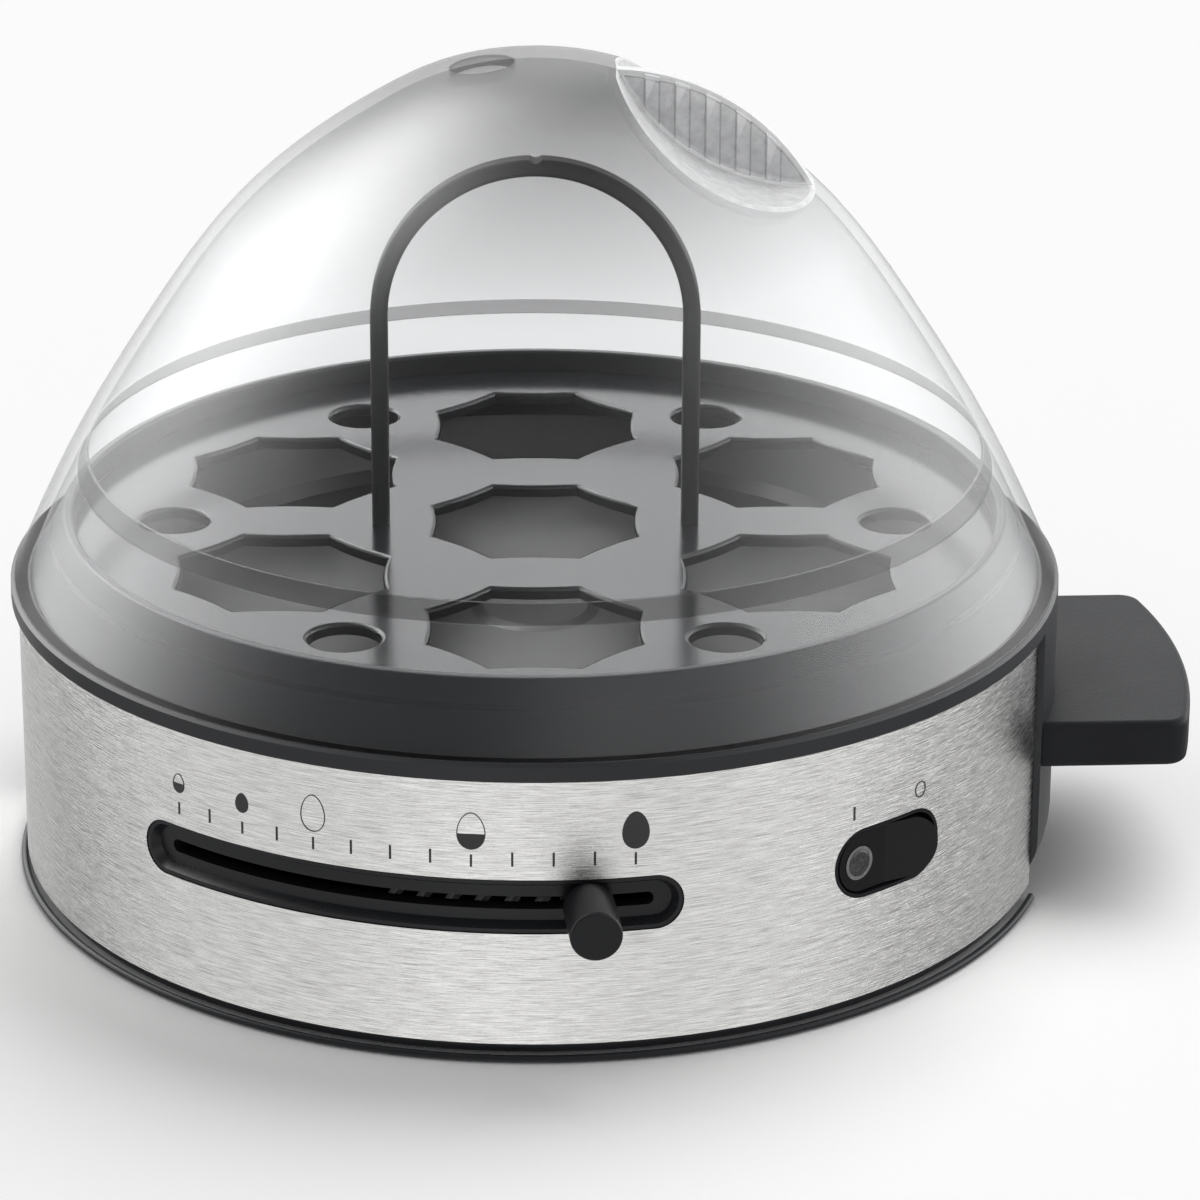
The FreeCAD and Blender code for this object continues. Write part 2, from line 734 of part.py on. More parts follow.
def make_switch_blades():
    root = -frame_back_r + body_depth
    blades = []
    for x in blade_places():
        blade = block(x - blade_t / 2, x + blade_t / 2, root, root + blade_len,
                      switch_z - blade_w / 2, switch_z + blade_w / 2)
        blades.append(turned(blade, switch_deg))
    return Part.makeCompound(blades)


# BOTTOM COVER: a disc with air slots, screwed to the posts.
def make_bottom_cover():
    cover = disc(opening_r - fit, bottom_z, cover_top_z)
    cuts = []
    for deg in post_degs:
        at = polar(post_ring_r, deg, 0)
        cuts.append(disc(screw_head_r + fit, bottom_z - overrun, screw_seat_z(), at.x, at.y))
        cuts.append(disc(screw_hole_r + fit, bottom_z - overrun, cover_top_z + overrun, at.x, at.y))
    for deg in foot_degs:
        at = polar(foot_ring_r, deg, 0)
        cuts.append(disc(foot_stud_r + fit, bottom_z - overrun, cover_top_z + overrun, at.x, at.y))
    middle = (cover_slots - 1) / 2
    for k in range(cover_slots):
        x = (k - middle) * cover_slot_pitch
        y = cover_slot_y
        half = (cover_slot_len - cover_slot_w) / 2
        bar = block(x - cover_slot_w / 2, x + cover_slot_w / 2, y - half, y + half,
                    bottom_z - overrun, cover_top_z + overrun)
        ends = [disc(cover_slot_w / 2, bottom_z - overrun, cover_top_z + overrun, x, y + side * half)
                for side in (-1, 1)]
        cuts.append(fused([bar] + ends))
    at = polar(buzzer_ring_r, buzzer_deg, 0)
    cuts.append(disc(buzzer_hole_r, bottom_z - overrun, cover_top_z + overrun, at.x, at.y))
    return cover.cut(cuts)


def make_cover_screws():
    screws = []
    for deg in post_degs:
        at = polar(post_ring_r, deg, 0)
        screws.append(screw_down(at.x, at.y, screw_seat_z(), screw_len, screw_r, screw_head_r, screw_head_h))
    return Part.makeCompound(screws)


def make_feet():
    feet = []
    for deg in foot_degs:
        at = polar(foot_ring_r, deg, 0)
        pad = disc(foot_r, 0.0, bottom_z, at.x, at.y)
        pad = rounded(pad, foot_edge, flat_at(0.0))
        stud = disc(foot_stud_r, bottom_z, cover_top_z, at.x, at.y)
        bulb = disc(foot_bulb_r, cover_top_z, cover_top_z + foot_bulb_h, at.x, at.y)
        feet.append(fused([pad, stud, bulb]))
    return Part.makeCompound(feet)


# HEATING PAN: a pressed dish whose lip lies on the ledge of the deck.
def make_pan():
    top_z = deck_z
    lip_low = top_z - pan_lip_t
    inner = [(0, pan_floor_z + pan_boss_h), (pan_boss_r, pan_floor_z + pan_boss_h),
             (pan_boss_r + pan_knee, pan_floor_z), (pan_floor_r - pan_knee, pan_floor_z),
             (pan_floor_r, pan_floor_z + pan_knee), (pan_top_r, top_z)]
    outer = [(pan_lip_r, top_z), (pan_lip_r, lip_low), (pan_top_r + pan_t, lip_low),
             (pan_floor_r + pan_t, pan_floor_z + pan_knee / 2), (pan_floor_r - pan_knee / 2, pan_under_z),
             (0, pan_under_z)]
    return spun(inner + outer)


def make_pan_seal():
    return tube(pan_lip_r, seal_in_r, ledge_z, ledge_z + seal_t)


# HEATING ELEMENT: a round tube, flattened where it is brazed to the pan, with
# both ends bent down at the back.
def make_element():
    mid_z = pan_under_z + element_flat - element_r
    start = HALF_TURN + element_gap_deg / 2
    profile = Part.Face(Part.Wire(Part.makeCircle(element_r, V(0, -element_ring_r, mid_z), V(1, 0, 0))))
    ring = turned(profile.revolve(ORIGIN, UP, TURN - element_gap_deg), start)
    parts = [ring]
    for side in (-1, 1):
        elbow = profile.revolve(V(0, -element_ring_r, mid_z - elbow_r), V(0, side, 0), QUARTER)
        leg = disc(element_r, leg_end_z, mid_z - elbow_r, side * elbow_r, -element_ring_r)
        bend = elbow.fuse(leg)
        parts.append(turned(bend, HALF_TURN - side * element_gap_deg / 2))
    element = fused(parts)
    keep = disc(base_r, bottom_z, pan_under_z)
    return element.common(keep)


def leg_places():
    places = []
    for side in (-1, 1):
        at = V(side * elbow_r, -element_ring_r, 0)
        deg = HALF_TURN - side * element_gap_deg / 2
        spot = FreeCAD.Rotation(UP, deg).multVec(at)
        places.append(spot)
    return places


def make_element_terminals():
    pins = []
    for spot in leg_places():
        pins.append(disc(terminal_r, leg_end_z - terminal_len, leg_end_z, spot.x, spot.y))
    return Part.makeCompound(pins)


# BRACKET: a steel strap under the pan. Two studs on the pan pull it up, and it
# holds the regulator against the pan.
def stud_places():
    return [(side * stud_ring_r, 0.0) for side in (-1, 1)]


def make_bracket():
    foot_z = bracket_foot_z()
    leg_in = bracket_leg_r - bracket_t
    strap = block(-bracket_leg_r, bracket_leg_r, -bracket_w / 2, bracket_w / 2, bracket_low_z, bracket_top_z)
    parts = [strap]
    for side in (-1, 1):
        x_leg = sorted((side * leg_in, side * bracket_leg_r))
        x_foot = sorted((side * leg_in, side * (bracket_leg_r + bracket_foot_len)))
        parts.append(block(x_leg[0], x_leg[1], -bracket_w / 2, bracket_w / 2, bracket_low_z, foot_z))
        parts.append(block(x_foot[0], x_foot[1], -bracket_edge, bracket_edge, foot_z - bracket_t, foot_z))
    bracket = fused(parts)
    bracket = bracket.cut(disc(collar_r + fit, bracket_low_z - overrun, bracket_top_z + overrun))
    for x, y in stud_places():
        bracket = bracket.cut(disc(stud_r + fit, bracket_low_z - overrun, bracket_top_z + overrun, x, y))
    for side in (-1, 1):
        bracket = bracket.cut(disc(screw_r + fit, foot_z - bracket_t - overrun, foot_z + overrun,
                                   side * bracket_screw_x()))
    return bracket


def make_bracket_screws():
    seat = bracket_foot_z() - bracket_t
    screws = [screw_down(side * bracket_screw_x(), 0.0, seat, bracket_screw_len, screw_r,
                         screw_head_r, screw_head_h) for side in (-1, 1)]
    return Part.makeCompound(screws)


def make_pan_studs():
    studs = [disc(stud_r, bracket_low_z - stud_below, pan_under_z, x, y) for x, y in stud_places()]
    clip_low = clip_z() - clip_stud_below
    studs.append(disc(stud_r, clip_low, pan_under_z, 0.0, clip_stud_r))
    return Part.makeCompound(studs)


def make_stud_nuts():
    nuts = []
    for x, y in stud_places():
        nut = hexagon(nut_r, bracket_low_z - nut_h, bracket_low_z, x, y)
        nuts.append(nut.cut(disc(stud_r + run_fit, bottom_z, pan_under_z, x, y)))
    nut = hexagon(nut_r, clip_z() - nut_h, clip_z(), 0.0, clip_stud_r)
    nuts.append(nut.cut(disc(stud_r + run_fit, bottom_z, pan_under_z, 0.0, clip_stud_r)))
    return Part.makeCompound(nuts)


# REGULATOR: its body is pressed to the pan, its threaded collar goes down
# through the bracket and takes a flat nut.
def make_regulator():
    body = disc(regulator_r, bracket_top_z, pan_under_z)
    body = rounded(body, regulator_edge, flat_at(bracket_top_z))
    body = body.fuse(disc(collar_r, bracket_low_z - collar_below, bracket_top_z + overrun))
    bore = disc(spindle_r + run_fit, bottom_z, bracket_top_z + spindle_in + move_gap)
    return body.cut(bore).removeSplitter()


def make_regulator_nut():
    nut = hexagon(collar_nut_r, bracket_low_z - collar_nut_h, bracket_low_z)
    return nut.cut(disc(collar_r + run_fit, bottom_z, bracket_top_z))


# THERMAL CUT-OUT: a small can held to the pan by a spring clip on its own stud.
def clip_z():
    return pan_under_z - cutout_h - clip_t


def make_cutout():
    can = disc(cutout_r, pan_under_z - cutout_h, pan_under_z, 0.0, cutout_ring_r)
    flange = disc(cutout_flange_r, pan_under_z - cutout_flange_h, pan_under_z, 0.0, cutout_ring_r)
    return fused([can, flange])


def make_clip():
    z0 = clip_z()
    half = clip_w / 2
    plate = block(-half, half, clip_inner_r, clip_stud_r, z0, z0 + clip_t)
    nose = disc(half, z0, z0 + clip_t, 0.0, clip_stud_r)
    clip = fused([plate, nose])
    return clip.cut(disc(stud_r + fit, z0 - overrun, z0 + clip_t + overrun, 0.0, clip_stud_r))


# SMALL PIECES on the cover.
def make_buzzer():
    at = polar(buzzer_ring_r, buzzer_deg, 0)
    can = disc(buzzer_r, cover_top_z, cover_top_z + buzzer_h, at.x, at.y)
    can = rounded(can, regulator_edge, flat_at(cover_top_z + buzzer_h))
    tab = block(at.x - buzzer_r - buzzer_tab, at.x + buzzer_r + buzzer_tab, at.y - buzzer_tab,
                at.y + buzzer_tab, cover_top_z, cover_top_z + cover_t)
    sound_hole = disc(buzzer_hole_r, cover_top_z - overrun, cover_top_z + buzzer_h / 2, at.x, at.y)
    return fused([can, tab]).cut(sound_hole)


def way_places():
    middle = (block_ways - 1) / 2
    return [(k - middle) * block_pitch for k in range(block_ways)]


def make_terminal_block():
    y0 = block_y - block_depth / 2
    y1 = block_y + block_depth / 2
    body = block(-block_len / 2, block_len / 2, y0, y1, cover_top_z, cover_top_z + block_h)
    body = rounded(body, regulator_edge, flat_at(cover_top_z + block_h))
    for x in way_places():
        mid_z = cover_top_z + block_h / 2
        bore = Part.makeCylinder(block_bore_r, block_depth + 2 * overrun, V(x, y0 - overrun, mid_z), V(0, 1, 0))
        port = disc(block_port_r, cover_top_z + block_h - block_port_depth, cover_top_z + block_h + overrun,
                    x, block_y)
        body = body.cut(bore).cut(port)
    return body


# CABLE INLET: a round gland through the rear wall with its nut inside.
def make_gland():
    cap = rod_out(base_r, base_r + gland_proud, gland_cap_r, gland_z)
    cap = cap.cut(disc(base_r, bottom_z, deck_z))
    lip = [e for e in cap.Edges if len(e.Vertexes) == 1 and abs(e.BoundBox.YMax + base_r + gland_proud) < fit]
    cap = cap.makeFillet(gland_edge, lip)
    barrel = rod_out(rear_in_r - gland_inside, base_r + gland_proud / 2, gland_r, gland_z)
    seat = rod_out(rear_in_r, base_r + gland_proud / 2, gland_cap_r, gland_z).cut(disc(base_r, bottom_z, deck_z))
    bore = rod_out(0.0, base_r + gland_proud + overrun, gland_bore_r, gland_z)
    return turned(fused([cap, barrel, seat]).cut(bore), HALF_TURN)


def make_gland_nut():
    flat_r = rear_in_r - rear_in_r * (1 - math.cos(math.asin(gland_nut_r / rear_in_r)))
    nut = rod_out(flat_r - gland_nut_h, flat_r, gland_nut_r, gland_z)
    nut = nut.cut(rod_out(0.0, base_r, gland_r + run_fit, gland_z))
    return turned(nut, HALF_TURN)


# SIDE HANDLE: a flat grip with an arched outer edge, and a tongue through the
# wall that a plate and two screws hold from inside.
def make_handle():
    half = handle_w / 2
    low = handle_top_z - handle_t
    slab = block(-half, half, -handle_reach_r, 0.0, low, handle_top_z)
    slab = slab.common(disc(handle_reach_r, low, handle_top_z))
    tall = [e for e in slab.Edges if e.BoundBox.ZLength > handle_t / 2 and e.BoundBox.YMax < -half]
    slab = slab.makeFillet(handle_corner, tall)
    slab = slab.cut(disc(base_r, low - overrun, handle_top_z + overrun))
    grip = rounded(slab, handle_edge, handle_rim)
    tongue = block(-handle_tongue_w / 2, handle_tongue_w / 2, -base_r - overrun, -handle_back_r(),
                   handle_mid_z() - handle_tongue_h / 2, handle_mid_z() + handle_tongue_h / 2)
    handle = grip.fuse(tongue)
    for x in handle_screw_places():
        handle = handle.cut(rod_out(0.0, handle_back_r() + handle_screw_len, handle_screw_r + run_fit,
                                    handle_mid_z(), x))
    return turned(handle.removeSplitter(), handle_deg)


def handle_rim(edge):
    # The long edges of the grip's top and bottom, but not those against the wall.
    box = edge.BoundBox
    flat = box.ZLength < fit
    at_wall = True
    for share in (0, mid_share, 1):
        p = edge.valueAt(edge.FirstParameter + share * (edge.LastParameter - edge.FirstParameter))
        if math.hypot(p.x, p.y) > base_r + fit:
            at_wall = False
    return flat and not at_wall


def handle_back_r():
    chord = math.sqrt(rear_in_r ** 2 - (handle_plate_w / 2) ** 2)
    return chord - handle_tongue_in


def handle_screw_places():
    return [side * handle_screw_pitch / 2 for side in (-1, 1)]


def make_handle_plate():
    back = handle_back_r()
    half = handle_plate_w / 2
    plate = block(-half, half, -back, -back + handle_plate_t, handle_mid_z() - handle_plate_h / 2,
                  handle_mid_z() + handle_plate_h / 2)
    for side in (-1, 1):
        x0, x1 = sorted((side * (half - handle_plate_t), side * half))
        ear = block(x0, x1, -base_r, -back + handle_plate_t, handle_mid_z() - handle_plate_h / 2,
                    handle_mid_z() + handle_plate_h / 2)
        plate = plate.fuse(ear.common(disc(rear_in_r, bottom_z, deck_z)))
    for x in handle_screw_places():
        plate = plate.cut(rod_out(0.0, base_r, handle_screw_r + fit, handle_mid_z(), x))
    return turned(plate.removeSplitter(), handle_deg)


def make_handle_screws():
    seat = handle_back_r() - handle_plate_t
    screws = []
    for x in handle_screw_places():
        shank = rod_out(seat, seat + handle_screw_len, handle_screw_r, handle_mid_z(), x)
        head = rod_out(seat - handle_head_h, seat, handle_head_r, handle_mid_z(), x)
        screws.append(turned(shank.fuse(head).removeSplitter(), handle_deg))
    return Part.makeCompound(screws)


# EGG TRAY: a shallow plate on a sloping skirt, with seven scalloped egg holes
# and six small holes between the outer ones.
def egg_outline(grow, z, x, y):
    # Eight points with slightly bulging sides between them.
    edges = []
    step = TURN / egg_points
    for k in range(egg_points):
        spots = []
        for share, radius in ((0, egg_hole_r), (mid_share, egg_hole_waist_r), (1, egg_hole_r)):
            a = math.radians((k + share) * step)
            spots.append(V(x + (radius + grow) * math.sin(a), y - (radius + grow) * math.cos(a), z))
        edges.append(Part.Arc(*spots).toShape())
    return Part.Wire(edges)


def egg_places():
    places = [V(0, 0, 0)]
    for k in range(egg_count):
        places.append(polar(egg_ring_r, k * TURN / egg_count, 0))
    return places


def make_tray():
    floor_low = tray_floor_z - tray_t
    slope = (tray_foot_r - tray_rim_r) / (tray_rim_z - deck_z)
    under_r = tray_foot_r - tray_t - slope * (floor_low - deck_z)
    inner_r = tray_rim_r - tray_t
    section = [(0, floor_low), (under_r, floor_low), (tray_foot_r - tray_t, deck_z), (tray_foot_r, deck_z),
               (tray_rim_r + slope * tray_edge, tray_rim_z - tray_edge), (tray_rim_r - tray_edge, tray_rim_z),
               (inner_r + tray_edge, tray_rim_z), (inner_r, tray_rim_z - tray_edge), (inner_r, tray_floor_z),
               (0, tray_floor_z)]
    tray = spun(section)
    cuts = []
    for at in egg_places():
        low_wire = egg_outline(0.0, floor_low - overrun, at.x, at.y)
        cuts.append(Part.Face(low_wire).extrude(V(0, 0, tray_t + 2 * overrun)))
        bevel_low = egg_outline(0.0, tray_floor_z - egg_bevel, at.x, at.y)
        bevel_top = egg_outline(egg_bevel, tray_floor_z, at.x, at.y)
        cuts.append(Part.makeLoft([bevel_low, bevel_top], True, True))
    for k in range(egg_count):
        at = polar(small_ring_r, (k + mid_share) * TURN / egg_count, 0)
        cuts.append(disc(small_hole_r, floor_low - overrun, tray_floor_z + overrun, at.x, at.y))
        cuts.append(Part.makeCone(small_hole_r, small_hole_r + egg_bevel, egg_bevel,
                                  V(at.x, at.y, tray_floor_z - egg_bevel)))
    for side in (-1, 1):
        half_x = arch_tongue / 2 + fit
        half_y = arch_tongue_depth / 2 + fit
        x = side * (arch_r - arch_bar / 2)
        cuts.append(block(x - half_x, x + half_x, -half_y, half_y, floor_low - overrun, tray_floor_z + overrun))
    for cut in cuts:
        tray = tray.cut(cut)
    return turned(tray, top_turn_deg)


# ARCH: the tray's carrying handle, snapped into two slots in its floor.
def arch_face(r_out, r_in, y):
    top = arch_top_z - arch_r
    outer = Part.Arc(V(-r_out, y, top), V(0, y, top + r_out), V(r_out, y, top)).toShape()
    inner = Part.Arc(V(r_in, y, top), V(0, y, top + r_in), V(-r_in, y, top)).toShape()
    corners = [V(r_out, y, top), V(r_out, y, tray_floor_z), V(r_in, y, tray_floor_z), V(r_in, y, top)]
    right = [Part.LineSegment(a, b).toShape() for a, b in zip(corners, corners[1:])]
    left = [Part.LineSegment(V(-a.x, y, a.z), V(-b.x, y, b.z)).toShape() for a, b in zip(corners, corners[1:])]
    return Part.Face(Part.Wire(Part.__sortEdges__([outer] + right + [inner] + left)))


def make_arch():
    half = arch_depth / 2
    bar = arch_face(arch_r, arch_r - arch_bar, -half).extrude(V(0, arch_depth, 0))
    long_edges = [e for e in bar.Edges if e.BoundBox.YLength < fit and e.BoundBox.ZMax > tray_floor_z + fit]
    bar = bar.makeFillet(arch_edge, long_edges)
    notch = Part.makeCylinder(arch_notch_r, arch_depth, V(0, -half, arch_top_z + arch_notch_r / 2), V(0, 1, 0))
    parts = [bar.cut(notch)]
    floor_low = tray_floor_z - tray_t
    for side in (-1, 1):
        x = side * (arch_r - arch_bar / 2)
        half_x = arch_tongue / 2
        half_y = arch_tongue_depth / 2
        tongue = block(x - half_x, x + half_x, -half_y, half_y, floor_low - arch_hook_h, tray_floor_z + overrun)
        x0, x1 = sorted((x - side * half_x, x + side * (half_x + arch_hook)))
        hook = block(x0, x1, -half_y, half_y, floor_low - arch_hook_h, floor_low)
        parts.append(tongue.fuse(hook))
    return turned(fused(parts), top_turn_deg)


# LID: a clear dome of even wall. A leaf-shaped fin with upright ribs stands in
# a finger hollow on one side, and a round steam hole is on the other.
def dome_curve():
    rise = lid_top_z - deck_z
    points = [V(lid_foot_r * r, 0, deck_z + rise * h) for r, h in lid_points_share]
    lean = math.radians(lid_foot_lean_deg)
    curve = Part.BSplineCurve()
    curve.interpolate(Points=points, InitialTangent=V(-math.sin(lean), 0, math.cos(lean)),
                      FinalTangent=V(-1, 0, 0))
    return curve


def inner_points(curve, count):
    # Points one wall inside the curve, square to it.
    first = curve.FirstParameter
    last = curve.LastParameter
    points = []
    for k in range(count + 1):
        t = first + (last - first) * k / count
        p = curve.value(t)
        along = curve.tangent(t)[0]
        normal = V(-along.z, 0, along.x)
        points.append(p + normal * lid_wall)
    return points


def dome_solid(edge, foot, top):
    lines = [Part.LineSegment(top, V(0, 0, foot.z)).toShape(), Part.LineSegment(V(0, 0, foot.z), foot).toShape()]
    face = Part.Face(Part.Wire([edge] + lines))
    return face.revolve(ORIGIN, UP, TURN)


def inside_curve(curve):
    points = inner_points(curve, 2 * len(lid_points_share))
    inner = Part.BSplineCurve()
    foot_dir = curve.tangent(curve.FirstParameter)[0]
    below = points[0] - foot_dir * ((points[0].z - deck_z + overrun) / foot_dir.z)
    points[-1] = V(0, 0, lid_top_z - lid_wall)
    inner.interpolate(Points=points, InitialTangent=foot_dir, FinalTangent=V(-1, 0, 0))
    return inner, below


def height_on(curve, radius):
    # The height of the dome's outside at a distance from the centre line.
    low = curve.FirstParameter
    high = curve.LastParameter
    for _ in range(halvings):
        mid = (low + high) / 2
        if curve.value(mid).x > radius:
            low = mid
        else:
            high = mid
    return curve.value(low).z


def grip_frame(curve):
    near = V(grip_near_r, 0, height_on(curve, grip_near_r))
    far = V(grip_far_r, 0, height_on(curve, grip_far_r))
    along = (far - near).normalize()
    up = V(-along.z, 0, along.x)
    return near, far, (near + far) / 2, along, up


def bow(near, far, middle, up, height):
    return Part.Arc(near, middle + up * height, far).toShape()


def hollow_form(frame, grow):
    # The finger hollow: an arc under the tips, swept outwards on a large radius.
    near, far, middle, along, up = frame
    half = (far - near).Length / 2
    radius = (half ** 2 + grip_sink ** 2) / (2 * grip_sink)
    centre = middle + up * (radius - grip_sink)
    arc_r = radius + grow
    reach = math.sqrt(arc_r ** 2 - (radius - grip_sink) ** 2)
    left = middle - along * reach
    right = middle + along * reach
    arc = Part.Arc(left, centre - up * arc_r, right).toShape()
    corners = [right, right + up * grip_above, left + up * grip_above, left]
    lines = [Part.LineSegment(a, b).toShape() for a, b in zip(corners, corners[1:])]
    face = Part.Face(Part.Wire([arc] + lines))
    axis_at = middle + up * (grip_sweep_r - grip_sink)
    start = face.copy()
    start.rotate(axis_at, along, -grip_sweep_deg)
    return start.revolve(axis_at, along, 2 * grip_sweep_deg)


def leaf(frame, low_height, high_height, half_t):
    near, far, middle, along, up = frame
    low = bow(near, far, middle, up, -low_height)
    high = bow(near, far, middle, up, high_height)
    face = Part.Face(Part.Wire([low, high]))
    face.translate(V(0, -half_t, 0))
    return face.extrude(V(0, 2 * half_t, 0))


def make_lid():
    curve = dome_curve()
    foot = curve.value(curve.FirstParameter)
    outside = dome_solid(curve.toShape(), foot, curve.value(curve.LastParameter))
    inner, below = inside_curve(curve)
    inner_foot = inner.value(inner.FirstParameter)
    side = Part.LineSegment(below, inner_foot).toShape()
    top = V(0, 0, lid_top_z - lid_wall)
    inside_face = Part.Face(Part.Wire([side, inner.toShape(), Part.LineSegment(top, V(0, 0, below.z)).toShape(),
                                       Part.LineSegment(V(0, 0, below.z), below).toShape()]))
    inside = inside_face.revolve(ORIGIN, UP, TURN)

    frame = grip_frame(curve)
    hollow = hollow_form(frame, 0.0)
    slab = block(0.0, 2 * lid_foot_r, -fin_t / 2, fin_t / 2, deck_z, 2 * lid_top_z)
    shell = outside.cut(hollow.cut(slab))
    shell = shell.cut(inside.cut(hollow_form(frame, lid_wall)))
    shell = shell.fuse(leaf(frame, grip_sink, grip_crown, fin_t / 2))

    # Upright ribs on both faces of the fin.
    rib_reach = fin_t / 2 + rib_proud
    clip = leaf(frame, grip_sink + lid_wall / 2, grip_crown - rib_below_crown, rib_reach)
    ribs = []
    for k in range(rib_count):
        x = rib_first_x + k * rib_pitch
        bar = block(x - rib_w / 2, x + rib_w / 2, -rib_reach, rib_reach, deck_z, 2 * lid_top_z)
        ribs.append(bar.common(clip))
    shell = shell.fuse(ribs)

    # Low bead round the inside, and the steam hole.
    bead = [bead_point(curve, bead_low_z, lid_wall / 2), bead_point(curve, bead_low_z + bead_h, lid_wall / 2),
            bead_point(curve, bead_low_z + bead_h, lid_wall + bead_t),
            bead_point(curve, bead_low_z, lid_wall + bead_t)]
    shell = shell.fuse(spun(bead))
    shell = shell.cut(disc(vent_r, deck_z, 2 * lid_top_z, vent_x))
    return turned(shell, top_turn_deg)


def bead_point(curve, z, depth):
    low = curve.FirstParameter
    high = curve.LastParameter
    for _ in range(halvings):
        mid = (low + high) / 2
        if curve.value(mid).z < z:
            low = mid
        else:
            high = mid
    return (curve.value(low).x - depth, z)


# LEADS: insulated wires from piece to piece inside the base, each a run of
# straight stretches joined by round bends.
def lead(corners):
    edges = []
    start = corners[0]
    for before, at, after in zip(corners, corners[1:], corners[2:]):
        a = (before - at).normalize()
        b = (after - at).normalize()
        half = a.getAngle(b) / 2
        room = lead_bend_share * min((before - at).Length, (after - at).Length)
        bend_r = min(lead_bend, room * math.tan(half))
        back = bend_r / math.tan(half)
        middle = (a + b).normalize()
        centre = at + middle * (bend_r / math.sin(half))
        enter = at + a * back
        leave = at + b * back
        edges.append(Part.LineSegment(start, enter).toShape())
        edges.append(Part.Arc(enter, centre - middle * bend_r, leave).toShape())
        start = leave
    edges.append(Part.LineSegment(start, corners[-1]).toShape())
    path = Part.Wire(edges)
    ring = Part.Wire(Part.makeCircle(lead_r, corners[0], corners[1] - corners[0]))
    return path.makePipeShell([ring], True, False)


def blade_end(k):
    # The inner end of a blade of the switch, and a point straight behind it.
    turn = FreeCAD.Rotation(UP, switch_deg)
    x = blade_places()[k]
    root = -frame_back_r + body_depth + blade_len
    return turn.multVec(V(x, root, switch_z)), turn.multVec(V(x, root + 2 * lead_bend + blade_w, switch_z))


def way_front(k):
    # The front end of a way of the terminal block, and a point straight before it.
    x = way_places()[k]
    y = block_y - block_depth / 2
    z = cover_top_z + block_h / 2
    return V(x, y, z), V(x, y - 2 * lead_bend, z)


def live_lead():
    blade, behind = blade_end(0)
    way, before = way_front(0)
    return lead([blade, behind, V(behind.x, behind.y, way.z), before, way])


def regulator_lead():
    blade, behind = blade_end(blade_count - 1)
    high = V(behind.x, behind.y, (bracket_top_z + pan_under_z) / 2)
    flat = V(high.x, high.y, 0)
    side = flat.normalize() * regulator_r
    return lead([blade, behind, high, V(side.x, side.y, high.z)])


def link_lead():
    # A short link from the regulator to the cut-out, trimmed to their round sides.
    z = (bracket_top_z + pan_under_z) / 2
    link = lead([V(-link_x, 0, z), V(-link_x, cutout_ring_r, z)])
    link = link.cut(disc(regulator_r, bracket_top_z, pan_under_z))
    return link.cut(disc(cutout_r, bracket_top_z, pan_under_z, 0.0, cutout_ring_r))


def cutout_lead():
    pin = min(leg_places(), key=lambda spot: spot.x)
    pin_z = leg_end_z - terminal_len
    high = (bracket_top_z + pan_under_z) / 2
    out_x = -cutout_r - lead_out
    return lead([V(pin.x, pin.y, pin_z), V(pin.x, pin.y, pin_z - lead_drop),
                 V(out_x, cutout_ring_r, pin_z - lead_drop), V(out_x, cutout_ring_r, high),
                 V(-cutout_r, cutout_ring_r, high)])


def neutral_lead():
    pin = max(leg_places(), key=lambda spot: spot.x)
    way, before = way_front(block_ways - 1)
    return lead([V(pin.x, pin.y, leg_end_z - terminal_len), V(pin.x, pin.y, way.z), way])


def earth_lead():
    way, before = way_front(block_ways // 2)
    return lead([V(0, clip_stud_r, clip_z() - clip_stud_below), V(0, clip_stud_r, way.z), way])


def make_leads():
    return Part.makeCompound([live_lead(), regulator_lead(), link_lead(), cutout_lead(), neutral_lead(),
                              earth_lead()])


def main():
    os.makedirs("parts", exist_ok=True)
    nodes = {
        "housing": make_housing,
        "steel_band": make_steel_band,
        "slot_channel": make_slot_channel,
        "switch_frame": make_switch_frame,
        "switch_body": make_switch_body,
        "switch_blades": make_switch_blades,
        "bottom_cover": make_bottom_cover,
        "cover_screws": make_cover_screws,
        "rubber_feet": make_feet,
        "heating_pan": make_pan,
        "pan_seal": make_pan_seal,
        "heating_element": make_element,
        "element_terminals": make_element_terminals,
        "pan_studs": make_pan_studs,
        "stud_nuts": make_stud_nuts,
        "regulator_bracket": make_bracket,
        "bracket_screws": make_bracket_screws,
        "regulator_body": make_regulator,
        "regulator_nut": make_regulator_nut,
        "thermal_cutout": make_cutout,
        "cutout_clip": make_clip,
        "buzzer": make_buzzer,
        "terminal_block": make_terminal_block,
        "cable_gland": make_gland,
        "gland_nut": make_gland_nut,
        "side_handle": make_handle,
        "handle_plate": make_handle_plate,
        "handle_screws": make_handle_screws,
        "internal_leads": make_leads,
        "slider_knob": make_slider_knob,
        "slider_lever": make_slider_lever,
        "regulator_spindle": make_spindle,
        "rocker": make_rocker,
        "indicator_lens": make_lens,
        "lens_ring": make_lens_ring,
        "egg_tray": make_tray,
        "tray_handle": make_arch,
        "lid_dome": make_lid,
    }
    for name, make in nodes.items():
        shape = make()
        shape.exportStep("parts/" + name + ".step")
        print(name, "solids", len(shape.Solids), "valid", shape.isValid(), "volume", round(shape.Volume, 1))


main()
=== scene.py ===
import math

import bmesh
import bpy
from mathutils import Matrix, Vector


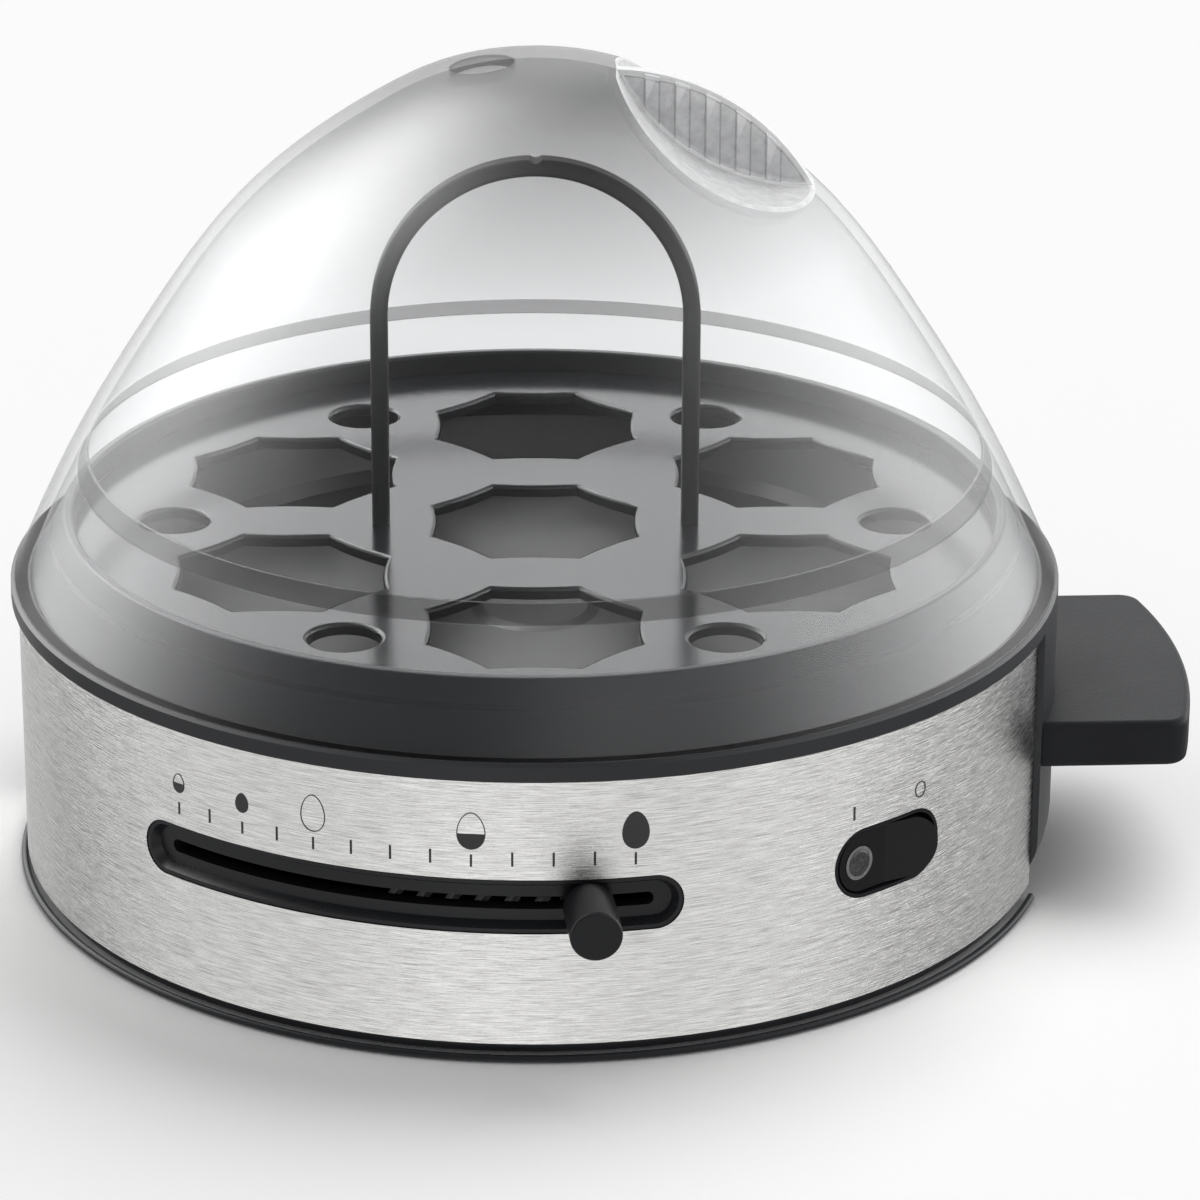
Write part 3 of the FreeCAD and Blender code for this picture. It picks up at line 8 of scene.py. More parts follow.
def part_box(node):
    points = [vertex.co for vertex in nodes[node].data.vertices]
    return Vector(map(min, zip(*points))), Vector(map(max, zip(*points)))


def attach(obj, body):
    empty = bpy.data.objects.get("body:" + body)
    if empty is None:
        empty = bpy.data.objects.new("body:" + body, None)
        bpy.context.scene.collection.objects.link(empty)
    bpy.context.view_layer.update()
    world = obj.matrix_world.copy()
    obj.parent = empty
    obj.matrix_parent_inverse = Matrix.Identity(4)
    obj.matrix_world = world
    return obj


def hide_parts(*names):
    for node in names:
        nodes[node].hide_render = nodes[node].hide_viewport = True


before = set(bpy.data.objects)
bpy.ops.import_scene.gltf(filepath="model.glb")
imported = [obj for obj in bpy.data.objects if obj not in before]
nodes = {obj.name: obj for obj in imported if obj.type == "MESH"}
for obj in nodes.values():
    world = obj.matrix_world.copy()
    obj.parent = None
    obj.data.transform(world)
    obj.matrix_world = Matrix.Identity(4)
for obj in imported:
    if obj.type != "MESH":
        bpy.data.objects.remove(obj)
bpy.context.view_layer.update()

mm = 0.001

# HOUSING. One black moulding with a satin surface: the ring on top, the foot
# edge under the steel and the round back are all this piece.


class Reading:
    """One output of a node. Sums on it add Math nodes, and put() adds any other node."""

    def __init__(self, tree, out=None):
        self.tree = tree
        self.out = out

    def put(self, kind, settings, plugs, pick=0):
        node = self.tree.nodes.new(kind)
        for name, value in settings.items():
            if name == "stops":
                ramp = node.color_ramp
                while len(ramp.elements) < len(value):
                    ramp.elements.new(1.0)
                for element, (place, shade) in zip(ramp.elements, value):
                    element.position = place
                    element.color = (shade, shade, shade, 1.0) if isinstance(shade, float) else shade
            else:
                setattr(node, name, value)
        for name, value in plugs.items():
            if isinstance(value, Reading):
                self.tree.links.new(value.out, node.inputs[name])
            else:
                node.inputs[name].default_value = value
        return Reading(self.tree, node.outputs[pick])

    def sum(self, operation, *terms, **settings):
        return self.put("ShaderNodeMath", {"operation": operation, **settings}, dict(enumerate(terms)))

    def __add__(self, other):
        return self.sum("ADD", self, other)

    def __radd__(self, other):
        return self.sum("ADD", other, self)

    def __sub__(self, other):
        return self.sum("SUBTRACT", self, other)

    def __rsub__(self, other):
        return self.sum("SUBTRACT", other, self)

    def __mul__(self, other):
        return self.sum("MULTIPLY", self, other)

    def __rmul__(self, other):
        return self.sum("MULTIPLY", other, self)

    def __truediv__(self, other):
        return self.sum("DIVIDE", self, other)

    def __pow__(self, other):
        return self.sum("POWER", self, other)

    def __gt__(self, other):
        return self.sum("GREATER_THAN", self, other)

    def __lt__(self, other):
        return self.sum("LESS_THAN", self, other)

    def __abs__(self):
        return self.sum("ABSOLUTE", self)

    def clamped(self):
        return self.sum("ADD", self, 0.0, use_clamp=True)


def new_finish(name):
    finish = bpy.data.materials.new(name)
    finish.use_nodes = True
    finish.node_tree.nodes.clear()
    return finish, Reading(finish.node_tree)


def place_on(bench):
    """The place on the piece, in metres: the vector and its three numbers."""
    place = bench.put("ShaderNodeTexCoord", {}, {}, "Object")
    parts = [bench.put("ShaderNodeSeparateXYZ", {}, {"Vector": place}, axis) for axis in "XYZ"]
    return place, *parts


def cloud(bench, place, scale, detail=3.0, rough=0.55):
    return bench.put("ShaderNodeTexNoise", {}, {
        "Vector": place, "Scale": scale, "Detail": detail, "Roughness": rough})


def shade_between(bench, share, dark, light):
    """A colour mix. A Mix node's colours are its sockets 6 and 7, and its third output."""
    return bench.put("ShaderNodeMix", {"data_type": "RGBA"}, {0: share, 6: dark, 7: light}, 2)


def finished(bench, surface):
    end = bench.tree.nodes.new("ShaderNodeOutputMaterial")
    bench.tree.links.new(surface.out, end.inputs["Surface"])


def moulded(name, dark, light, roughness, grain=1800.0, depth=0.12, coat=0.0, shine=0.28):
    """Moulded plastic: a fine spark-etched grain, soft clouds in its shade and a little unevenness in its gloss."""
    finish, bench = new_finish(name)
    place, x, y, z = place_on(bench)
    clouds = cloud(bench, place, 38.0)
    grains = cloud(bench, place, grain, 2.0, 0.6)
    bump = bench.put("ShaderNodeBump", {}, {"Strength": depth, "Distance": 0.00012, "Height": grains})
    colour = shade_between(bench, clouds, (*dark, 1.0), (*light, 1.0))
    gloss = (clouds - 0.5) * 0.16 + (grains - 0.5) * 0.10 + roughness
    surface = bench.put("ShaderNodeBsdfPrincipled", {}, {
        "Base Color": colour, "Roughness": gloss.clamped(), "Normal": bump,
        "Coat Weight": coat, "Coat Roughness": 0.12, "Specular IOR Level": shine})
    finished(bench, surface)
    return finish


def dress(finish, *names):
    for name in names:
        node = nodes[name]
        node.data.materials.clear()
        node.data.materials.append(finish)


dress(moulded("satin_black", (0.010, 0.011, 0.013), (0.018, 0.019, 0.022), 0.36, shine=0.38), "housing")

# STEEL BAND. Thin sheet wrapped round the front, brushed along its length, so
# the strokes run level round the base.

band_r = 88.8
brushed, bench = new_finish("brushed_steel")
place, x, y, z = place_on(bench)
turn = bench.sum("ARCTAN2", x, -1.0 * y)
reach = turn * (band_r * mm)
wide = bench.put("ShaderNodeCombineXYZ", {}, {"X": reach, "Y": z * 26.0, "Z": 0.0})
fine = bench.put("ShaderNodeCombineXYZ", {}, {"X": reach, "Y": z * 70.0, "Z": 0.4})
strokes = cloud(bench, wide, 190.0, 4.0, 0.70)
hairs = cloud(bench, fine, 110.0, 3.0, 0.75)
clouds = cloud(bench, place, 30.0)
wear = (strokes - 0.5) * 1.6 + (hairs - 0.5) * 1.7
tone = (wear * 1.55 + 0.61 + (clouds - 0.5) * 0.10).clamped()
colour = shade_between(bench, tone, (0.50, 0.495, 0.485, 1.0), (1.0, 0.995, 0.98, 1.0))
bump = bench.put("ShaderNodeBump", {}, {"Strength": 0.30, "Distance": 0.00008, "Height": wear})
surface = bench.put("ShaderNodeBsdfPrincipled", {}, {
    "Base Color": colour, "Metallic": 1.0, "Roughness": (0.26 + wear * 0.08).clamped(),
    "Normal": bump})
finished(bench, surface)
dress(brushed, "steel_band")


def new_piece(name, mesh, finish=None):
    piece = bpy.data.objects.new(name, mesh)
    bpy.context.scene.collection.objects.link(piece)
    if finish is not None:
        piece.data.materials.append(finish)
    return piece


def new_tree(name, inputs):
    tree = bpy.data.node_groups.new(name, "GeometryNodeTree")
    tree.interface.new_socket(name="Geometry", in_out="INPUT", socket_type="NodeSocketGeometry")
    for title, kind in inputs:
        tree.interface.new_socket(name=title, in_out="INPUT", socket_type=kind)
    tree.interface.new_socket(name="Geometry", in_out="OUTPUT", socket_type="NodeSocketGeometry")
    source = tree.nodes.new("NodeGroupInput")
    plugs = {s.name: Reading(tree, s) for s in source.outputs if s.name}
    return tree, Reading(tree), plugs


def close_tree(tree, shape, finish):
    bench = Reading(tree)
    whole = bench.put("GeometryNodeRealizeInstances", {}, {"Geometry": shape})
    coated = bench.put("GeometryNodeSetMaterial", {}, {"Geometry": whole, "Material": finish})
    end = tree.nodes.new("NodeGroupOutput")
    tree.links.new(coated.out, end.inputs["Geometry"])


def grown(piece, tree, values):
    """Runs the tree on the piece and keeps the result as its plain mesh."""
    step = piece.modifiers.new(tree.name, "NODES")
    step.node_group = tree
    for item in tree.interface.items_tree:
        if item.in_out == "INPUT" and item.name in values:
            step[item.identifier] = values[item.name]
    dg = bpy.context.evaluated_depsgraph_get()
    mesh = bpy.data.meshes.new_from_object(piece.evaluated_get(dg))
    piece.modifiers.clear()
    piece.data = mesh
    return piece


# The sheet's cut edge along its top is drawn as a thin near-white line, a painted highlight on a real edge.
edge_highlight_finish, bench = new_finish("painted_edge_highlight")
place, x, y, z = place_on(bench)
burrs = cloud(bench, place, 900.0)
# Near-white colour with little metal: the painted highlight of the edge line.
surface = bench.put("ShaderNodeBsdfPrincipled", {}, {
    "Base Color": shade_between(bench, burrs, (0.86, 0.86, 0.85, 1.0), (1.0, 1.0, 0.99, 1.0)),
    "Metallic": 0.35, "Roughness": 0.26 + burrs * 0.2})
finished(bench, surface)

tree, bench, plugs = new_tree("edge_line", [
    ("Radius", "NodeSocketFloat"), ("Height", "NodeSocketFloat"), ("Half angle", "NodeSocketFloat"),
    ("Thickness", "NodeSocketFloat"), ("Finish", "NodeSocketMaterial")])
line = bench.put("GeometryNodeCurveArc", {}, {
    "Resolution": 160, "Radius": plugs["Radius"], "Start Angle": plugs["Half angle"] * -1.0 - math.pi / 2,
    "Sweep Angle": plugs["Half angle"] * 2.0})
lift = bench.put("ShaderNodeCombineXYZ", {}, {"X": 0.0, "Y": 0.0, "Z": plugs["Height"]})
line = bench.put("GeometryNodeTransform", {}, {"Geometry": line, "Translation": lift})
profile = bench.put("GeometryNodeCurvePrimitiveCircle", {}, {"Resolution": 8, "Radius": plugs["Thickness"] * 0.5})
swept = bench.put("GeometryNodeCurveToMesh", {}, {"Curve": line, "Profile Curve": profile, "Fill Caps": True})
close_tree(tree, swept, plugs["Finish"])
front_half = math.radians(87.1)
band_edge = grown(new_piece("band_edge", bpy.data.meshes.new("band_edge")), tree, {
    "Radius": 88.76 * mm, "Height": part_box("steel_band")[1][2] - 0.12 * mm, "Half angle": front_half,
    "Thickness": 0.34 * mm, "Finish": edge_highlight_finish})
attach(band_edge, "base")

# The black foot edge under the sheet ends in a bead, just off the table.
bead_finish = moulded("bead_black", (0.010, 0.011, 0.013), (0.018, 0.019, 0.022), 0.42, shine=0.18)
foot_bead = grown(new_piece("foot_bead", bpy.data.meshes.new("foot_bead")), tree, {
    "Radius": 89.25 * mm, "Height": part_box("housing")[0][2] - 0.42 * mm, "Half angle": front_half,
    "Thickness": 1.26 * mm, "Finish": bead_finish})
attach(foot_bead, "base")

# SCALE. Dark ink printed on the steel: a tick for each step of the slider and
# five egg signs from soft to hard. Each print is a skin on the band's face.

ink_lift = 0.05
ink, bench = new_finish("printed_ink")
place, x, y, z = place_on(bench)
speckle = cloud(bench, place, 2600.0, 2.0)
surface = bench.put("ShaderNodeBsdfPrincipled", {}, {
    "Base Color": shade_between(bench, speckle, (0.012, 0.012, 0.013, 1.0), (0.035, 0.035, 0.038, 1.0)),
    "Roughness": 0.42 + speckle * 0.2})
finished(bench, surface)

tick_count = 13
tick_step = 4.22
tick_low, tick_high = 34.3, 36.7
# The ticks that carry a sign begin and end a little lower.
sign_ticks = (0, 2, 4, 8, 12)
sign_drop_low, sign_drop_high = 0.25, 0.55

tree, bench, plugs = new_tree("scale_ticks", [
    ("Radius", "NodeSocketFloat"), ("Step", "NodeSocketFloat"), ("Count", "NodeSocketInt"),
    ("Width", "NodeSocketFloat"), ("Skin", "NodeSocketFloat"), ("Ink", "NodeSocketMaterial")])
row = bench.put("GeometryNodeMeshLine", {"mode": "OFFSET"}, {"Count": plugs["Count"], "Offset": (0.0, 0.0, 0.0)})
index = bench.put("GeometryNodeInputIndex", {}, {})
azimuth = (index - (plugs["Count"] - 1.0) * 0.5) * plugs["Step"]
signed = 0.0
for k in sign_ticks:
    signed = bench.sum("COMPARE", index, float(k), 0.1) + signed
high = tick_high * mm - signed * (sign_drop_high * mm)
low = tick_low * mm - signed * (sign_drop_low * mm)
size = bench.put("ShaderNodeCombineXYZ", {}, {"X": plugs["Width"], "Y": plugs["Skin"], "Z": mm})
plate = bench.put("GeometryNodeMeshCube", {}, {"Size": size})
spin = bench.put("ShaderNodeCombineXYZ", {}, {"X": 0.0, "Y": 0.0, "Z": azimuth})
stretch = bench.put("ShaderNodeCombineXYZ", {}, {"X": 1.0, "Y": 1.0, "Z": (high - low) * 1000.0})
spots = bench.put("GeometryNodeSetPosition", {}, {
    "Geometry": row,
    "Position": bench.put("ShaderNodeCombineXYZ", {}, {
        "X": bench.sum("SINE", azimuth) * plugs["Radius"],
        "Y": bench.sum("COSINE", azimuth) * plugs["Radius"] * -1.0,
        "Z": (high + low) * 0.5})})
ticks = bench.put("GeometryNodeInstanceOnPoints", {}, {
    "Points": spots, "Instance": plate, "Rotation": spin, "Scale": stretch})
close_tree(tree, ticks, plugs["Ink"])

scale_ticks = grown(new_piece("scale_ticks", bpy.data.meshes.new("scale_ticks")), tree, {
    "Radius": (band_r + ink_lift / 2) * mm, "Step": math.radians(tick_step), "Count": tick_count,
    "Width": 0.36 * mm, "Skin": ink_lift * mm, "Ink": ink})
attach(scale_ticks, "base")


def oval_points(width, height, count, narrowing=0.0):
    """An oval about its own middle. With a narrowing it is an egg, narrow end up."""
    points = []
    for k in range(count):
        a = 2 * math.pi * k / count
        points.append((width / 2 * math.sin(a) * (1 - narrowing * math.cos(a)), height / 2 * math.cos(a)))
    return points


def strip(outer, inner):
    """The flat band between two outlines."""
    count = len(outer)
    faces = [(k, (k + 1) % count, count + (k + 1) % count, count + k) for k in range(count)]
    return outer + inner, faces


def printed(name, pieces, azimuth, height):
    """Flat outlines wrapped on the band, each a closed skin."""
    mesh = bpy.data.meshes.new(name)
    shell = bmesh.new()
    for points, faces in pieces:
        rings = []
        for depth in (ink_lift, -ink_lift):
            ring = []
            for u, v in points:
                a = math.radians(azimuth) + u / band_r
                r = (band_r + depth) * mm
                ring.append(shell.verts.new((r * math.sin(a), -r * math.cos(a), (height + v) * mm)))
            rings.append(ring)
        front, back = rings
        edges = {}
        for face in faces:
            shell.faces.new([front[i] for i in face])
            shell.faces.new([back[i] for i in reversed(face)])
            for a, b in zip(face, face[1:] + face[:1]):
                edges[(a, b)] = True
        for a, b in edges:
            if (b, a) not in edges:
                shell.faces.new([front[a], back[a], back[b], front[b]][::-1])
    bmesh.ops.recalc_face_normals(shell, faces=shell.faces)
    shell.to_mesh(mesh)
    shell.free()
    piece = new_piece(name, mesh, ink)
    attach(piece, "base")
    return piece


def egg_sign(name, step, width, height, middle, filled):
    """filled is the share of the sign's height that is inked, from its blunt end up."""
    line, corners, narrowing = 0.16, 40, 0.14
    outer = oval_points(width, height, corners, narrowing)
    inner = oval_points(width - 2 * line, height - 2 * line, corners, narrowing)
    pieces = [strip(outer, inner)]
    if filled > 0:
        level = height * (filled - 0.5)
        cut = [(u, min(v, level)) for u, v in inner]
        pieces.append((cut, [tuple(range(len(cut)))]))
    return printed(name, pieces, (step - (tick_count - 1) / 2) * tick_step, middle)


egg_sign("egg_sign_1", 0, 2.5, 3.4, 39.5, 0.5)
egg_sign("egg_sign_2", 2, 2.5, 3.4, 39.4, 1.0)
egg_sign("egg_sign_3", 4, 4.3, 6.4, 40.3, 0.0)
egg_sign("egg_sign_4", 8, 4.6, 6.4, 40.2, 0.42)
egg_sign("egg_sign_5", 12, 4.4, 6.4, 40.0, 1.0)

# SLIDER. A dished black channel lies behind the slot. The peg is turned round
# the centre line by a lever on the regulator's spindle.

dress(moulded("channel_black", (0.008, 0.0085, 0.010), (0.014, 0.015, 0.017), 0.30, 1500.0, 0.06),
      "slot_channel")
dress(moulded("peg_black", (0.008, 0.0085, 0.010), (0.014, 0.0145, 0.016), 0.40, 1400.0, 0.05, shine=0.22),
      "slider_knob")
dress(moulded("lever_grey", (0.06, 0.06, 0.062), (0.09, 0.09, 0.093), 0.5),
      "slider_lever", "switch_body", "buzzer")

# SWITCH. An oval frame, a glossy rocker that tips on an upright pin and a lamp
# lens in a bright ring at its left end. An upright stroke and a ring are
# printed above it.

dress(moulded("frame_black", (0.008, 0.0085, 0.010), (0.013, 0.014, 0.016), 0.36, 1500.0, 0.05, shine=0.14),
      "switch_frame")
dress(moulded("rocker_gloss", (0.006, 0.006, 0.007), (0.011, 0.011, 0.012), 0.20, 900.0, 0.02, coat=0.05, shine=0.16),
      "rocker")

lens_finish, bench = new_finish("lamp_lens")
place, x, y, z = place_on(bench)
facets = bench.put("ShaderNodeTexVoronoi", {}, {"Vector": place, "Scale": 1400.0})
bump = bench.put("ShaderNodeBump", {}, {"Strength": 0.5, "Distance": 0.0002, "Height": facets})
surface = bench.put("ShaderNodeBsdfPrincipled", {}, {
    "Base Color": shade_between(bench, facets, (0.014, 0.013, 0.013, 1.0), (0.046, 0.042, 0.041, 1.0)),
    "Roughness": 0.12 + facets * 0.2, "Normal": bump, "Coat Weight": 0.3, "Coat Roughness": 0.05})
finished(bench, surface)
dress(lens_finish, "indicator_lens")


def metal(name, dark, light, roughness, scale=120.0):
    """Bare or plated metal with faint handling marks."""
    finish, bench = new_finish(name)
    place, x, y, z = place_on(bench)
    marks = cloud(bench, place, scale, 4.0, 0.65)
    bump = bench.put("ShaderNodeBump", {}, {"Strength": 0.12, "Distance": 0.00008, "Height": marks})
    surface = bench.put("ShaderNodeBsdfPrincipled", {}, {
        "Base Color": shade_between(bench, marks, (*dark, 1.0), (*light, 1.0)), "Metallic": 1.0,
        "Roughness": (roughness + (marks - 0.5) * 0.18).clamped(), "Normal": bump})
    finished(bench, surface)
    return finish


dress(metal("bright_ring", (0.10, 0.10, 0.10), (0.58, 0.58, 0.58), 0.18, 900.0), "lens_ring")
printed("mark_on", [([(-0.2, -1.2), (0.2, -1.2), (0.2, 1.2), (-0.2, 1.2)], [(0, 1, 2, 3)])], 50.3, 36.2)
printed("mark_off", [strip(oval_points(2.6, 2.9, 36), oval_points(2.1, 2.48, 36))], 59.8, 36.4)

# HEATING PAN. Pressed aluminium with a grey coat that carries a few lime marks.
# A soft ring seals its lip to the deck, and the heater is brazed underneath.

pan_finish, bench = new_finish("coated_pan")
place, x, y, z = place_on(bench)
reach = bench.put("ShaderNodeVectorMath", {"operation": "LENGTH"}, {0: bench.put(
    "ShaderNodeCombineXYZ", {}, {"X": x, "Y": y, "Z": 0.0})}, 1)
rings = bench.sum("SINE", reach * 2600.0) * 0.5 + 0.5
clouds = cloud(bench, place, 60.0, 5.0)
spots = cloud(bench, place, 420.0, 3.0)
bump = bench.put("ShaderNodeBump", {}, {"Strength": 0.12, "Distance": 0.0001, "Height": rings * 0.4 + spots})
surface = bench.put("ShaderNodeBsdfPrincipled", {}, {
    "Base Color": shade_between(bench, (clouds * 0.7 + spots * 0.3).clamped(),
                                (0.055, 0.055, 0.056, 1.0), (0.115, 0.115, 0.113, 1.0)),
    "Metallic": 0.45, "Roughness": (0.42 + (clouds - 0.5) * 0.3).clamped(), "Normal": bump})
finished(bench, surface)
dress(pan_finish, "heating_pan")
dress(moulded("seal_grey", (0.42, 0.42, 0.40), (0.52, 0.52, 0.50), 0.6, 900.0), "pan_seal")
dress(metal("drawn_tube", (0.50, 0.50, 0.48), (0.66, 0.66, 0.64), 0.42), "heating_element", "thermal_cutout")

# INSIDE. Plated strap, studs, nuts, screws and blades, an off-white insulating
# body for the regulator and the terminals, brass for what turns or clamps.

dress(metal("zinc_plate", (0.55, 0.55, 0.53), (0.72, 0.72, 0.69), 0.36), "regulator_bracket", "bracket_screws",
      "pan_studs", "stud_nuts", "cutout_clip", "handle_plate", "handle_screws", "cover_screws", "element_terminals")
dress(metal("plain_brass", (0.60, 0.44, 0.20), (0.78, 0.62, 0.34), 0.34), "regulator_nut", "regulator_spindle",
      "switch_blades")
dress(moulded("insulator", (0.62, 0.60, 0.54), (0.74, 0.72, 0.66), 0.5, 700.0), "regulator_body", "terminal_block")
dress(moulded("wire_sleeve", (0.60, 0.60, 0.57), (0.72, 0.72, 0.69), 0.55, 600.0, 0.3), "internal_leads")

# UNDERSIDE. The cover is black like the base with a coarser grain. The feet
# are soft rubber, and the cord comes in through a ribbed gland at the back.

dress(moulded("cover_black", (0.012, 0.012, 0.013), (0.020, 0.020, 0.022), 0.55, 900.0, 0.3), "bottom_cover")
dress(moulded("soft_rubber", (0.020, 0.020, 0.020), (0.034, 0.034, 0.034), 0.78, 700.0, 0.4), "rubber_feet")
dress(moulded("gland_black", (0.010, 0.010, 0.011), (0.018, 0.018, 0.020), 0.45), "cable_gland", "gland_nut")

# HANDLE. A flat grip with a fine matt texture that shows soft grey on top.

dress(moulded("handle_matt", (0.013, 0.0135, 0.015), (0.022, 0.023, 0.025), 0.46, 1500.0, 0.35, shine=0.08),
      "side_handle")

# EGG TRAY. One dark moulding: a polished plate with seven scalloped egg holes
# and six round ones, on a skirt that widens to the foot standing on the deck.

egg_ring_r, egg_hole_r, egg_waist_r = 49.0, 19.0, 16.95
small_ring_r, small_hole_r = 62.0, 6.0
tray_turn = math.radians(15.0)
around_rim, around_egg, around_small = 192, 64, 36
plate_low, plate_high = 0.0585, 0.0594

tray_finish, bench = new_finish("tray_black")
place, x, y, z = place_on(bench)
plate = (z > plate_low) * (z < plate_high)
clouds = cloud(bench, place, 38.0)
grains = cloud(bench, place, 1300.0, 2.0, 0.6)
scuffs = cloud(bench, bench.put("ShaderNodeMapping", {}, {"Vector": place, "Scale": (1.0, 6.0, 1.0)}), 120.0, 4.0)
bump = bench.put("ShaderNodeBump", {}, {"Strength": 0.02, "Distance": 0.0001, "Height": grains})
surface = bench.put("ShaderNodeBsdfPrincipled", {}, {
    "Base Color": shade_between(bench, clouds, (0.012, 0.013, 0.015, 1.0), (0.020, 0.021, 0.024, 1.0)),
    "Roughness": (0.30 - plate * 0.13 + (clouds - 0.5) * 0.06 + (scuffs - 0.5) * 0.05).clamped(),
    "Normal": bump, "Specular IOR Level": 0.33})
finished(bench, surface)


def picked(bench, level, values):
    """The value that belongs to a whole-numbered level."""
    total = 0.0
    for k, value in enumerate(values):
        total = bench.sum("COMPARE", level, float(k), 0.5) * value + total
    return total


def joined(bench, x, y, z):
    return bench.put("ShaderNodeCombineXYZ", {}, {"X": x, "Y": y, "Z": z})


def wall_round(bench, around, levels, shape):
    """A closed wall. shape gives the place of a point from its angle and its level."""
    sheet = bench.put("GeometryNodeMeshGrid", {}, {
        "Size X": 1.0, "Size Y": 1.0, "Vertices X": around + 1, "Vertices Y": levels})
    spot = bench.put("GeometryNodeInputPosition", {}, {})
    across = bench.put("ShaderNodeSeparateXYZ", {}, {"Vector": spot}, "X")
    upward = bench.put("ShaderNodeSeparateXYZ", {}, {"Vector": spot}, "Y")
    level = bench.sum("ROUND", (upward + 0.5) * (levels - 1.0))
    placed = shape((across + 0.5) * (2 * math.pi), level)
    return bench.put("GeometryNodeSetPosition", {}, {"Geometry": sheet, "Position": placed})


def outline_round(bench, around, level, shape):
    """One level of such a wall, as a curve."""
    ring = bench.put("GeometryNodeMeshCircle", {}, {"Vertices": around, "Radius": 1.0})
    index = bench.put("GeometryNodeInputIndex", {}, {})
    placed = shape(index * (2 * math.pi / around), level)
    ring = bench.put("GeometryNodeSetPosition", {}, {"Geometry": ring, "Position": placed})
    return bench.put("GeometryNodeMeshToCurve", {}, {"Mesh": ring})


def together(bench, pieces):
    node = bench.tree.nodes.new("GeometryNodeJoinGeometry")
    for piece in pieces:
        bench.tree.links.new(piece.out, node.inputs[0])
    return Reading(bench.tree, node.outputs[0])


sizes = ["Foot radius", "Rim radius", "Wall", "Foot height", "Floor height", "Rim height", "Rim rounding",
         "Hole radius", "Hole waist", "Ring radius", "Small radius", "Small ring", "Bevel", "Slot across",
         "Slot width", "Slot depth", "Turn"]
tree, bench, plugs = new_tree("scalloped_tray", [(size, "NodeSocketFloat") for size in sizes]
                              + [("Finish", "NodeSocketMaterial")])
foot, rim, wall, deck, floor, top, round_r = [plugs[size] for size in sizes[:7]]
hole, waist, ring, small, small_ring, bevel = [plugs[size] for size in sizes[7:13]]
slot_x, slot_w, slot_d, turn = [plugs[size] for size in sizes[13:]]
under = floor - wall
slope = (foot - rim) / (top - deck)
inner = rim - wall
half_step = math.pi / 8
# A hole's wall is square at its foot and rounds over into the plate.
lip_out = [0.0, 0.0, 0.134, 0.5, 1.0]
lip_down = [1.0, 1.0, 0.5, 0.134, 0.0]


def lip_height(level):
    foot_drop = bench.sum("COMPARE", level, 0.0, 0.5) * (wall - bevel)
    return floor - picked(bench, level, lip_down) * bevel - foot_drop


def on_circle(angle, radius, height):
    return joined(bench, bench.sum("SINE", angle) * radius, bench.sum("COSINE", angle) * radius, height)


def scalloped(angle, level):
    # Eight points round the hole. The sides between them bow a little inwards.
    side = bench.sum("FRACT", angle / (2 * half_step) + 0.5) - 0.5
    swing = side * (2 * half_step)
    flat = hole * math.cos(half_step)
    bow = (waist - flat) * (1.0 - (bench.sum("TANGENT", swing) / math.tan(half_step)) ** 2.0)
    radius = (flat + bow + picked(bench, level, lip_out) * bevel) / bench.sum("COSINE", swing)
    return on_circle(angle, radius, lip_height(level))


def plain_round(angle, level):
    return on_circle(angle, small + picked(bench, level, lip_out) * bevel, lip_height(level))


def slotted(angle, level):
    # The four corners of a slot for one end of the arch.
    corner = angle + math.pi / 4
    across = bench.sum("COSINE", corner) * slot_w * math.sqrt(2)
    deep = bench.sum("SINE", corner) * slot_d * math.sqrt(2)
    return joined(bench, across, deep, under + bench.sum("COMPARE", level, 1.0, 0.5) * wall)


def skirt(angle, level):
    # From the plate up the inside of the rim, over it, down the skirt and back under.
    turns = [math.radians(a) for a in (180, 150, 120, 90)]
    radii = [inner] + [inner + round_r * (1.0 + math.cos(a)) for a in turns]
    heights = [floor] + [top - round_r * (1.0 - math.sin(a)) for a in turns]
    for a in [math.radians(a) for a in (90, 69, 48, 28)]:
        radii.append(rim - round_r * (1.0 - math.cos(a)))
        heights.append(top - round_r * (1.0 - math.sin(a)))
    radii += [foot, foot - wall, foot - wall - slope * (under - deck)]
    heights += [deck, deck, under]
    return on_circle(angle, picked(bench, level, radii), picked(bench, level, heights))


def rim_circle(radius, height):
    return lambda angle, level: on_circle(angle, radius, height)


index = bench.put("GeometryNodeInputIndex", {}, {})
ring_of_six = bench.put("GeometryNodeMeshCircle", {}, {"Vertices": 6, "Radius": 1.0})
egg_ring = bench.put("GeometryNodeSetPosition", {}, {
    "Geometry": ring_of_six, "Position": on_circle(index * (math.pi / 3), ring, 0.0)})
middle = bench.put("GeometryNodeMeshLine", {}, {"Count": 1})
egg_spots = together(bench, [egg_ring, middle])
small_spots = bench.put("GeometryNodeSetPosition", {}, {
    "Geometry": ring_of_six, "Position": on_circle((index + 0.5) * (math.pi / 3), small_ring, 0.0)})
pair = bench.put("GeometryNodeMeshLine", {}, {"Count": 2})
slot_spots = bench.put("GeometryNodeSetPosition", {}, {"Geometry": pair, "Position": joined(
    bench, (index * 2.0 - 1.0) * slot_x, 0.0, 0.0)})

